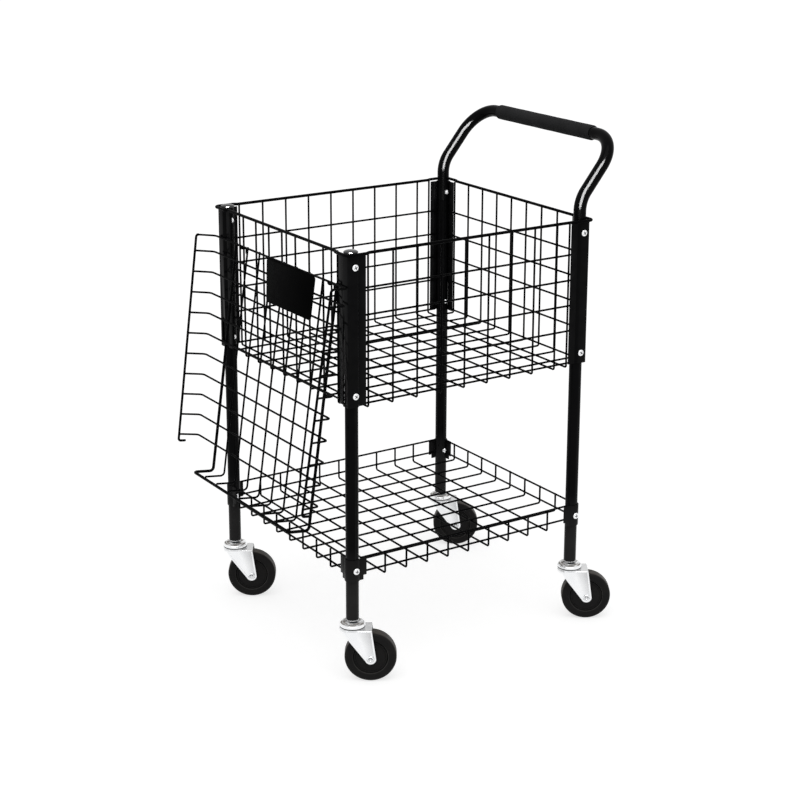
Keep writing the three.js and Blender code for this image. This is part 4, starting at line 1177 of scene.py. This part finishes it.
# %% Painted bands on the zinc
BAND_SOFTNESS = 0.25


def step_at(tree, height, before, after):
    """The change from one number to another at a height, over a soft edge."""
    low = (height - BAND_SOFTNESS) * MM
    return ranged(tree, height_of(tree), before, after, low, (height + BAND_SOFTNESS) * MM)


def band(low, high, patches=None):
    """A maker of the mask between two heights, in patches of that scale or whole."""

    def mask_of(tree):
        whole = product(tree, step_at(tree, low, 0, 1), step_at(tree, high, 1, 0))
        if not patches:
            return whole
        return product(tree, whole, ranged(tree, noise(tree, patches, 2), 0, 1, 0.36, 0.56))

    return mask_of


# Painted shade in the groove between the races, and painted reflections on the dome's top and the neck.
zinc("ring_zinc", [
    (band(RING_FOOT + 1.9, RING_FOOT + 4.3), (0.03, 0.03, 0.032), 1),
    (band(RING_TOP - 1.6, RING_TOP - 0.1, 60), (0.30, 0.28, 0.26), 1),
    (band(RING_TOP + 0.2, NECK_TOP - 1.2, 55), (0.06, 0.065, 0.07), 1),
])
ring_mesh = make_mesh("caster_ring", ring_shape, "ring_zinc", sharp=50)
print("ring with", len(ring_mesh.polygons), "faces")

# %% Fork sheet
FORK_HALF = 22
FORK_LEAD = 25
FORK_SHEET = 2.5
FORK_FOLD = 2.7
FORK_TAIL = 60


def fork_plan(lead, half):
    """Round in front of the kingpin, straight along the legs."""
    turn = math.asin(half / lead)
    nose = arc((0, 0), (lead, lead), math.pi - turn, math.pi + turn, 24)
    return [(FORK_TAIL, -half), (FORK_TAIL, half), *nose]


def pressed(lead, half, fold, foot, top):
    """A solid over that plan whose upper edge is rolled over by the fold radius."""
    layers = [(0, foot), *arc((fold, top - fold), (-fold, fold), 0, math.pi / 2, 8)]
    verts = []
    for inset, z in layers:
        verts += [Vector((x, y, z)) for x, y in fork_plan(lead - inset, half - inset)]
    n = len(verts) // len(layers)
    faces = [tuple(reversed(range(n))), tuple(range(len(verts) - n, len(verts)))]
    for first in range(0, len(verts) - n, n):
        for i in range(n):
            j = (i + 1) % n
            faces.append((first + i, first + j, first + n + j, first + n + i))
    return verts, faces


def shrunk(amount, foot):
    """The pressed solid, smaller by that amount all round and above."""
    lead = FORK_LEAD - amount
    return pressed(lead, FORK_HALF - amount, FORK_FOLD - amount, foot, CROWN_TOP - amount)


print("fork sheet of", FORK_SHEET, "mm,", 2 * FORK_HALF, "mm wide")

# %% Fork cut to its outline
FORK_FOOT_RADIUS = 10.8
FORK_RIB = 3.6
FORK_RIB_DEPTH = 0.35
FORK_EDGE = 0.4
FORK_PAST = 40
FORK_OVERRUN = 5
TRAIL = 34.5
AXLE_HEIGHT = WHEEL_RADIUS


def leg_outline(front, foot_radius, high):
    """The side of a leg: down its front, round the axle and up to the high point behind."""
    size = (foot_radius, foot_radius)
    foot = arc((TRAIL, AXLE_HEIGHT), size, math.radians(205), math.radians(355), 12)
    return [*front, *foot, high]


def outline_tool(points, y0, y1):
    """A solid of that side view between two values of y."""
    upright = Matrix.Rotation(math.pi / 2, 4, "X")
    return moved(raised(points, -y1, -y0), upright)


above = CROWN_TOP + FORK_OVERRUN
front = [
    (-FORK_PAST, above),
    (-FORK_PAST, CROWN_TOP - 6),
    (-17, CROWN_TOP - 6),
    (-15.4, CROWN_TOP - 7),
    (-6.5, CROWN_TOP - 21),
]
outline = leg_outline(front, FORK_FOOT_RADIUS, (36.3, above))
panel_front = [(-13.5, CROWN_TOP - 2.9), (-3.5, CROWN_TOP - 19.1)]
panel = leg_outline(panel_front, FORK_FOOT_RADIUS - FORK_RIB, (34.8, CROWN_TOP - 2.9))
panel_face = FORK_HALF - FORK_RIB_DEPTH
past = FORK_HALF + FORK_OVERRUN
cuts = [
    shrunk(FORK_SHEET, -FORK_OVERRUN),
    outline_tool(panel, panel_face, past),
    outline_tool(panel, -past, -panel_face),
]
keep = [outline_tool(outline, -FORK_PAST, FORK_PAST)]
# Painted reflections: the top of the crown is toned duller, and a thin band just below it darker.
zinc("fork_zinc", [
    (band(CROWN_TOP - 0.3, above), (0.70, 0.70, 0.70), 0.5),
    (band(CROWN_TOP - 3.2, CROWN_TOP - 0.8), (0.30, 0.30, 0.31), 0.14),
])
fork_mesh = make_mesh("caster_fork", shrunk(0, 0), "fork_zinc", cuts, keep, bevel=FORK_EDGE)
print("fork with", len(fork_mesh.polygons), "faces")

# %% Axle
AXLE_SEAT = FORK_HALF + FIT
AXLE_HEAD = 6.7
AXLE_RADIUS = 4
DISH_RADIUS = 5.0
DARK_INNER = 2.3
DARK_OUTER = 4.0
UPPER_START = 0.4
UPPER_FULL = 1.2


def axle_shape():
    """A rod with a head at each end: a rolled rim round a shallow dish."""
    end = [
        (0, AXLE_SEAT - 2),
        (AXLE_HEAD - 0.5, AXLE_SEAT - 0.3),
        (AXLE_HEAD, AXLE_SEAT + 0.3),
        (AXLE_HEAD, AXLE_SEAT + 1.6),
        (AXLE_HEAD - 1, AXLE_SEAT + 2.9),
        (AXLE_HEAD - 2.2, AXLE_SEAT + 3.2),
        (AXLE_HEAD - 3.3, AXLE_SEAT + 2.6),
        (AXLE_HEAD - 4.2, AXLE_SEAT + 1.4),
        (0, AXLE_SEAT + 1.1),
    ]
    cap = turned(softened(end, ZINC_EDGE), 40)
    side = [(0, -AXLE_SEAT), (AXLE_RADIUS, -AXLE_SEAT), (AXLE_RADIUS, AXLE_SEAT), (0, AXLE_SEAT)]
    rod = turned(side, 32)
    flip = Matrix.Rotation(math.pi, 4, "X")
    return moved(joined([cap, rod, moved(cap, flip)]), Matrix.Rotation(math.pi / 2, 4, "X"))


def dark_reflection_arc(tree):
    """One in parts of the upper half of a ring in the dish, which the photograph shows dark: a painted
    reflection.
    """
    ring = ring_about_axle(tree, DARK_INNER, DARK_OUTER)
    upper = ranged(tree, height_of(tree), 0, 1, UPPER_START * MM, UPPER_FULL * MM)
    patches = ranged(tree, noise(tree, 170, 2), 0.2, 1, 0.45, 0.5)
    return product(tree, product(tree, ring, upper), patches)


def dish_reflection_mask(tree):
    return ring_about_axle(tree, 0, DISH_RADIUS)


# Painted reflections: the dish is toned greyer, and parts of a ring in its upper half dark.
zinc("axle_zinc", [(dish_reflection_mask, (0.66, 0.68, 0.70), 0.35), (dark_reflection_arc, (0.04, 0.04, 0.042), 1)])
axle_mesh = make_mesh("caster_axle", axle_shape(), "axle_zinc", sharp=40)
print("axle with heads of", 2 * AXLE_HEAD, "mm")

# %% Wheel
TYRE_HALF = 14
WHEEL_EDGE = 0.8
tyre_half = [
    (WHEEL_RADIUS, 3.2),
    (WHEEL_RADIUS - 0.3, 3.4),
    (WHEEL_RADIUS - 0.3, 4),
    (WHEEL_RADIUS, 4.2),
    (WHEEL_RADIUS, 8.4),
    (WHEEL_RADIUS - 0.3, 10),
    (WHEEL_RADIUS - 1.4, 12),
    (WHEEL_RADIUS - 3.4, 13.5),
    (WHEEL_RADIUS - 4.2, TYRE_HALF),
    (GROOVE_RADIUS + 2.5, TYRE_HALF),
    (GROOVE_RADIUS + 1, 13.4),
    (GROOVE_RADIUS, 11),
]
core_half = [
    (GROOVE_RADIUS - 0.2, 9.8),
    (GROOVE_RADIUS - 1, 12.4),
    (GROOVE_RADIUS - 2, 12.9),
    (GROOVE_RADIUS - 3.4, 12.4),
    (GROOVE_RADIUS - 4.4, 10.6),
    (26, 10.2),
    (14.5, 11),
    (13, 12.4),
    (12.4, 17.6),
    (11.6, 18.2),
    (5.4, 18.2),
    (4.6, 17.4),
]


def wheel_part(name, half, sides):
    """A ring turned from half a section, which is mirrored and closed."""
    section = [(r, -y) for r, y in reversed(half)] + half
    section.append(section[0])
    shape = turned(softened(section, WHEEL_EDGE), sides)
    return make_mesh(name, moved(shape, Matrix.Rotation(math.pi / 2, 4, "X")), "wheel_tread", sharp=50)


tyre_mesh = wheel_part("tyre", tyre_half, 96)
core_mesh = wheel_part("wheel_core", core_half, 80)
print("wheel of", 2 * WHEEL_RADIUS, "mm")

# %% Four casters
CASTER_TURN = math.radians(-33)
for corner, (sx, sy) in CORNERS.items():
    foot = spot(sx * HALF_LENGTH, sy * HALF_WIDTH)
    swivel = foot @ Matrix.Rotation(CASTER_TURN, 4, "Z")
    hub = swivel @ spot(TRAIL, 0, AXLE_HEIGHT)
    fork = f"fork_{corner}"
    wheel = f"wheel_{corner}"
    stem_node = [f"caster_stem_{corner}"]
    fork_node = [f"caster_fork_{corner}"]
    axle_node = [f"caster_axle_{corner}"]
    wheel_node = [f"caster_wheel_{corner}"]
    stand(f"caster_ring_{corner}", ring_mesh, "cart_frame", stem_node, foot)
    stand(f"pressed_fork_{corner}", fork_mesh, fork, fork_node, swivel)
    stand(f"axle_{corner}", axle_mesh, fork, axle_node, hub)
    stand(f"tyre_{corner}", tyre_mesh, wheel, wheel_node, hub)
    stand(f"wheel_core_{corner}", core_mesh, wheel, place=hub)
print("four casters turned by", round(math.degrees(CASTER_TURN)), "degrees")

# %% [markdown]
# ## Hanging rack
# The rack is a wire grid whose level wires turn outwards at both ends, into two shallow sides. A
# thicker bent wire frames its foot, and a thick edge wire joins each side. It leans outwards a little.
# It is drawn flat in its own frame, where its top wire is the axis, and then tipped as one.

# %% Level wires of the rack
RACK_X = -HALF_LENGTH - 19
RACK_Z = POST_TOP - 60
RACK_LEAN = math.radians(8)
RACK_LENGTH = 470
RACK_WIDTH = 506
RACK_TAPER = 26
RACK_DEPTH = 39
RACK_SPLAY = 9.5
RACK_BEND = 8
ROW_FIRST = 32.5
ROW_PITCH = 42.3
RACK_ROWS = 10
rack_place = spot(RACK_X, 0, RACK_Z) @ Matrix.Rotation(RACK_LEAN, 4, "Y")


def rack_half(drop):
    return (RACK_WIDTH - RACK_TAPER * drop / RACK_LENGTH) / 2


def bent_bar(line, bend, radius, sides=12):
    return bar(rounded([Vector(point) for point in line], bend), radius, sides)


drops = [0] + [ROW_FIRST + ROW_PITCH * row for row in range(RACK_ROWS)]
rack = []
for drop in drops:
    half = rack_half(drop)
    tip = half + RACK_SPLAY
    line = [(-RACK_DEPTH, -tip, -drop), (0, -half, -drop), (0, half, -drop), (-RACK_DEPTH, tip, -drop)]
    rack.append(bent_bar(line, RACK_BEND, WIRE))
print("rack of", len(rack), "level wires")

# %% Side edges of the rack
RACK_EDGE = 2.5
EDGE_BEND = 5
EDGE_PAST = 14
EDGE_TOP_TURN = 6
EDGE_FOOT_TURN = 16
low = -drops[-1] - EDGE_PAST
for sign in (-1, 1):
    top = sign * (rack_half(0) + RACK_SPLAY)
    foot = sign * (rack_half(-low) + RACK_SPLAY)
    line = [
        (EDGE_TOP_TURN - RACK_DEPTH, top, 0),
        (-RACK_DEPTH, top, 0),
        (-RACK_DEPTH, foot, low),
        (EDGE_FOOT_TURN - RACK_DEPTH, foot, low),
    ]
    rack.append(bent_bar(line, EDGE_BEND, RACK_EDGE, 14))
print("side edges down to", round(-low, 1), "mm below the top wire")

# %% Foot and uprights of the rack
RACK_LEFT = 211
RACK_RIGHT = 172
RACK_BARS = 7
BAR_PITCH = (RACK_LEFT + RACK_RIGHT) / (RACK_BARS + 1)
WELD_SINK = 0.6
behind = WIRE + RIM - WELD_SINK
loop = [
    (behind, -RACK_LEFT, WIRE),
    (behind, -RACK_LEFT, -RACK_LENGTH),
    (-RACK_DEPTH, -RACK_LEFT, -RACK_LENGTH),
    (-RACK_DEPTH, RACK_RIGHT, -RACK_LENGTH),
    (behind, RACK_RIGHT, -RACK_LENGTH),
    (behind, RACK_RIGHT, WIRE),
]
rack.append(bent_bar(loop, RACK_BEND, RIM, 16))
bar_foot = -RACK_LENGTH + RIM + WIRE - WELD_SINK
for k in range(1, RACK_BARS + 1):
    y = k * BAR_PITCH - RACK_LEFT
    line = [(CROSSING, y, WIRE), (CROSSING, y, bar_foot), (-RACK_DEPTH, y, bar_foot)]
    rack.append(bent_bar(line, RACK_BEND, WIRE))
mesh = make_mesh("rack_wires", joined(rack), "coated_wire")
rack_nodes = ["rack_grid", "rack_side_left", "rack_side_right", "rack_foot"]
stand("rack_wires", mesh, "rack", rack_nodes, rack_place)
print("rack of", len(rack), "wires")

# %% [markdown]
# ## Plate and hooks
# A thin painted plate hangs on the grid. It is square at one end and slanted at the other, with
# rounded corners, and it stays bare. Two bent wire hooks on the basket carry the rack's top wire.

# %% Plate
PLATE_START = -147
PLATE_TOP = -1
PLATE_HEIGHT = 83
PLATE_LENGTH = 183
PLATE_FOOT_LENGTH = 167
PLATE_CORNER = 6
PLATE_THICKNESS = 1.5
PLATE_EDGE = 0.4
plate_corners = [
    (PLATE_START, PLATE_TOP - PLATE_HEIGHT),
    (PLATE_START + PLATE_FOOT_LENGTH, PLATE_TOP - PLATE_HEIGHT),
    (PLATE_START + PLATE_LENGTH, PLATE_TOP),
    (PLATE_START, PLATE_TOP),
]
outline = rounded([Vector((y, z, 0)) for y, z in plate_corners], PLATE_CORNER, closed=True)
turn_up = Matrix(((0, 0, 1, 0), (1, 0, 0, 0), (0, 1, 0, 0), (0, 0, 0, 1)))
face = -WIRE - FIT - PLATE_THICKNESS
plate = moved(raised([(p.x, p.y) for p in outline], face, face + PLATE_THICKNESS), turn_up)
mesh = make_mesh("plate", plate, "plate_paint", bevel=PLATE_EDGE)
stand("plate", mesh, "rack", ["name_plate"], rack_place)
print("plate of", PLATE_LENGTH, "by", PLATE_HEIGHT, "mm")

# %% Hooks
HOOK_SEAT = 2 * WIRE + FIT
HOOK_SHARE = 0.35
HOOK_TAIL = 9
HOOK_TIP = 4
HOOK_BEND = 4.3
for name, gap in (("left", 0), ("right", RACK_BARS)):
    y = (gap + HOOK_SHARE) * BAR_PITCH - RACK_LEFT
    shank = -HALF_LENGTH - LEVEL_OFFSET - HOOK_SEAT
    crook = RACK_Z - HOOK_SEAT
    front = RACK_X - HOOK_SEAT
    line = [
        (shank, y, LEVEL_ROWS[0] - HOOK_TAIL),
        (shank, y, crook),
        (front, y, crook),
        (front, y, RACK_Z + HOOK_TIP),
    ]
    mesh = make_mesh(f"hook_{name}", bent_bar(line, HOOK_BEND, WIRE), "coated_wire")
    stand(f"hook_{name}", mesh, "cart_frame", [f"rack_hook_{name}"])
print("hooks on the level wire at", LEVEL_ROWS[0])

# %% [markdown]
# ## Floor and light
# The photograph has a white ground with faint soft shadows under the wheels. The floor is a wide
# pale plane. Seen straight or in a reflection it also glows a little, which brings it to white
# without more light on the cart, and its shadows stay. A white world and a wide soft sun light
# everything and give the shadows. One high lamp draws the long streak on the handle. It is very
# strong, because the coat reflects so little. So it is seen only in gloss, and it is linked to the
# handle and the plugs alone: it would bleach the zinc. In other light this streak isn't there.

# %% Floor
FLOOR_REACH = 40
FLOOR_COLOUR = 0.5
FLOOR_GLOW = 0.69
FLOOR_ROUGHNESS = 0.9
floor_mesh = bpy.data.meshes.new("floor")
signs = [(-1, -1), (1, -1), (1, 1), (-1, 1)]
floor_corners = [(sx * FLOOR_REACH, sy * FLOOR_REACH, 0) for sx, sy in signs]
floor_mesh.from_pydata(floor_corners, [], [(0, 1, 2, 3)])
floor = bpy.data.objects.new("floor", floor_mesh)
bpy.context.scene.collection.objects.link(floor)


def seen_directly(tree):
    """One for rays that the camera sends, straight or through a reflection, and zero for light."""
    path = tree.nodes.new("ShaderNodeLightPath")
    total = path.outputs["Is Camera Ray"]
    for name in ("Is Glossy Ray", "Is Transmission Ray"):
        total = calculated(tree, "MAXIMUM", total, path.outputs[name])
    return total


ground = bpy.data.materials.new("ground")
ground.use_nodes = True
tree = ground.node_tree
shader = tree.nodes["Principled BSDF"]
shader.inputs["Base Color"].default_value = (FLOOR_COLOUR, FLOOR_COLOUR, FLOOR_COLOUR, 1)
shader.inputs["Roughness"].default_value = FLOOR_ROUGHNESS
shader.inputs["Specular IOR Level"].default_value = 0
glow = tree.nodes.new("ShaderNodeEmission")
tree.links.new(ranged(tree, seen_directly(tree), 0, FLOOR_GLOW, 0, 1), glow.inputs["Strength"])
both = tree.nodes.new("ShaderNodeAddShader")
tree.links.new(shader.outputs["BSDF"], both.inputs[0])
tree.links.new(glow.outputs["Emission"], both.inputs[1])
tree.links.new(both.outputs["Shader"], tree.nodes["Material Output"].inputs["Surface"])
floor_mesh.materials.append(ground)
print("floor of", 2 * FLOOR_REACH, "m")

# %% World
AMBIENT = 0.5
world = bpy.data.worlds.new("studio")
world.use_nodes = True
bpy.context.scene.world = world
tree = world.node_tree
background = tree.nodes["Background"]
background.inputs["Color"].default_value = (1, 1, 1, 1)
tree.links.new(ranged(tree, seen_directly(tree), AMBIENT, 1, 0, 1), background.inputs["Strength"])
print("world at", AMBIENT, "as a light and at 1 as a background")

# %% High lamp
LAMP_PLACE = Vector((-2.53, -3.6, 3.0))
LAMP_AIM = Vector((0.31, -0.1, 0.93))
LAMP_WIDTH = 3.4
LAMP_HEIGHT = 5.4
LAMP_POWER = 16500
lamp_data = bpy.data.lights.new("high_lamp", "AREA")
lamp_data.shape = "RECTANGLE"
lamp_data.size = LAMP_WIDTH
lamp_data.size_y = LAMP_HEIGHT
lamp_data.energy = LAMP_POWER
high_lamp = bpy.data.objects.new("high_lamp", lamp_data)
high_lamp.location = LAMP_PLACE
high_lamp.rotation_euler = (LAMP_AIM - LAMP_PLACE).to_track_quat("-Z", "Y").to_euler()
high_lamp.visible_diffuse = False
bpy.context.scene.collection.objects.link(high_lamp)
shiny = bpy.data.collections.new("what_the_high_lamp_lights")
for name in ("handle_tube", "plug_cap_front_left", "plug_cap_front_right"):
    shiny.objects.link(bpy.data.objects[name])
high_lamp.light_linking.receiver_collection = shiny

# %% Soft sun
SUN_STRENGTH = 0.9
SUN_WIDTH = math.radians(50)
SUN_TIP = math.radians(18)
SUN_SIDE = math.radians(-14)
sun_data = bpy.data.lights.new("soft_sun", "SUN")
sun_data.energy = SUN_STRENGTH
sun_data.angle = SUN_WIDTH
sun = bpy.data.objects.new("soft_sun", sun_data)
sun.rotation_euler = (SUN_TIP, SUN_SIDE, 0)
bpy.context.scene.collection.objects.link(sun)
bpy.context.scene.view_settings.view_transform = "Standard"
print("sun of strength", SUN_STRENGTH)
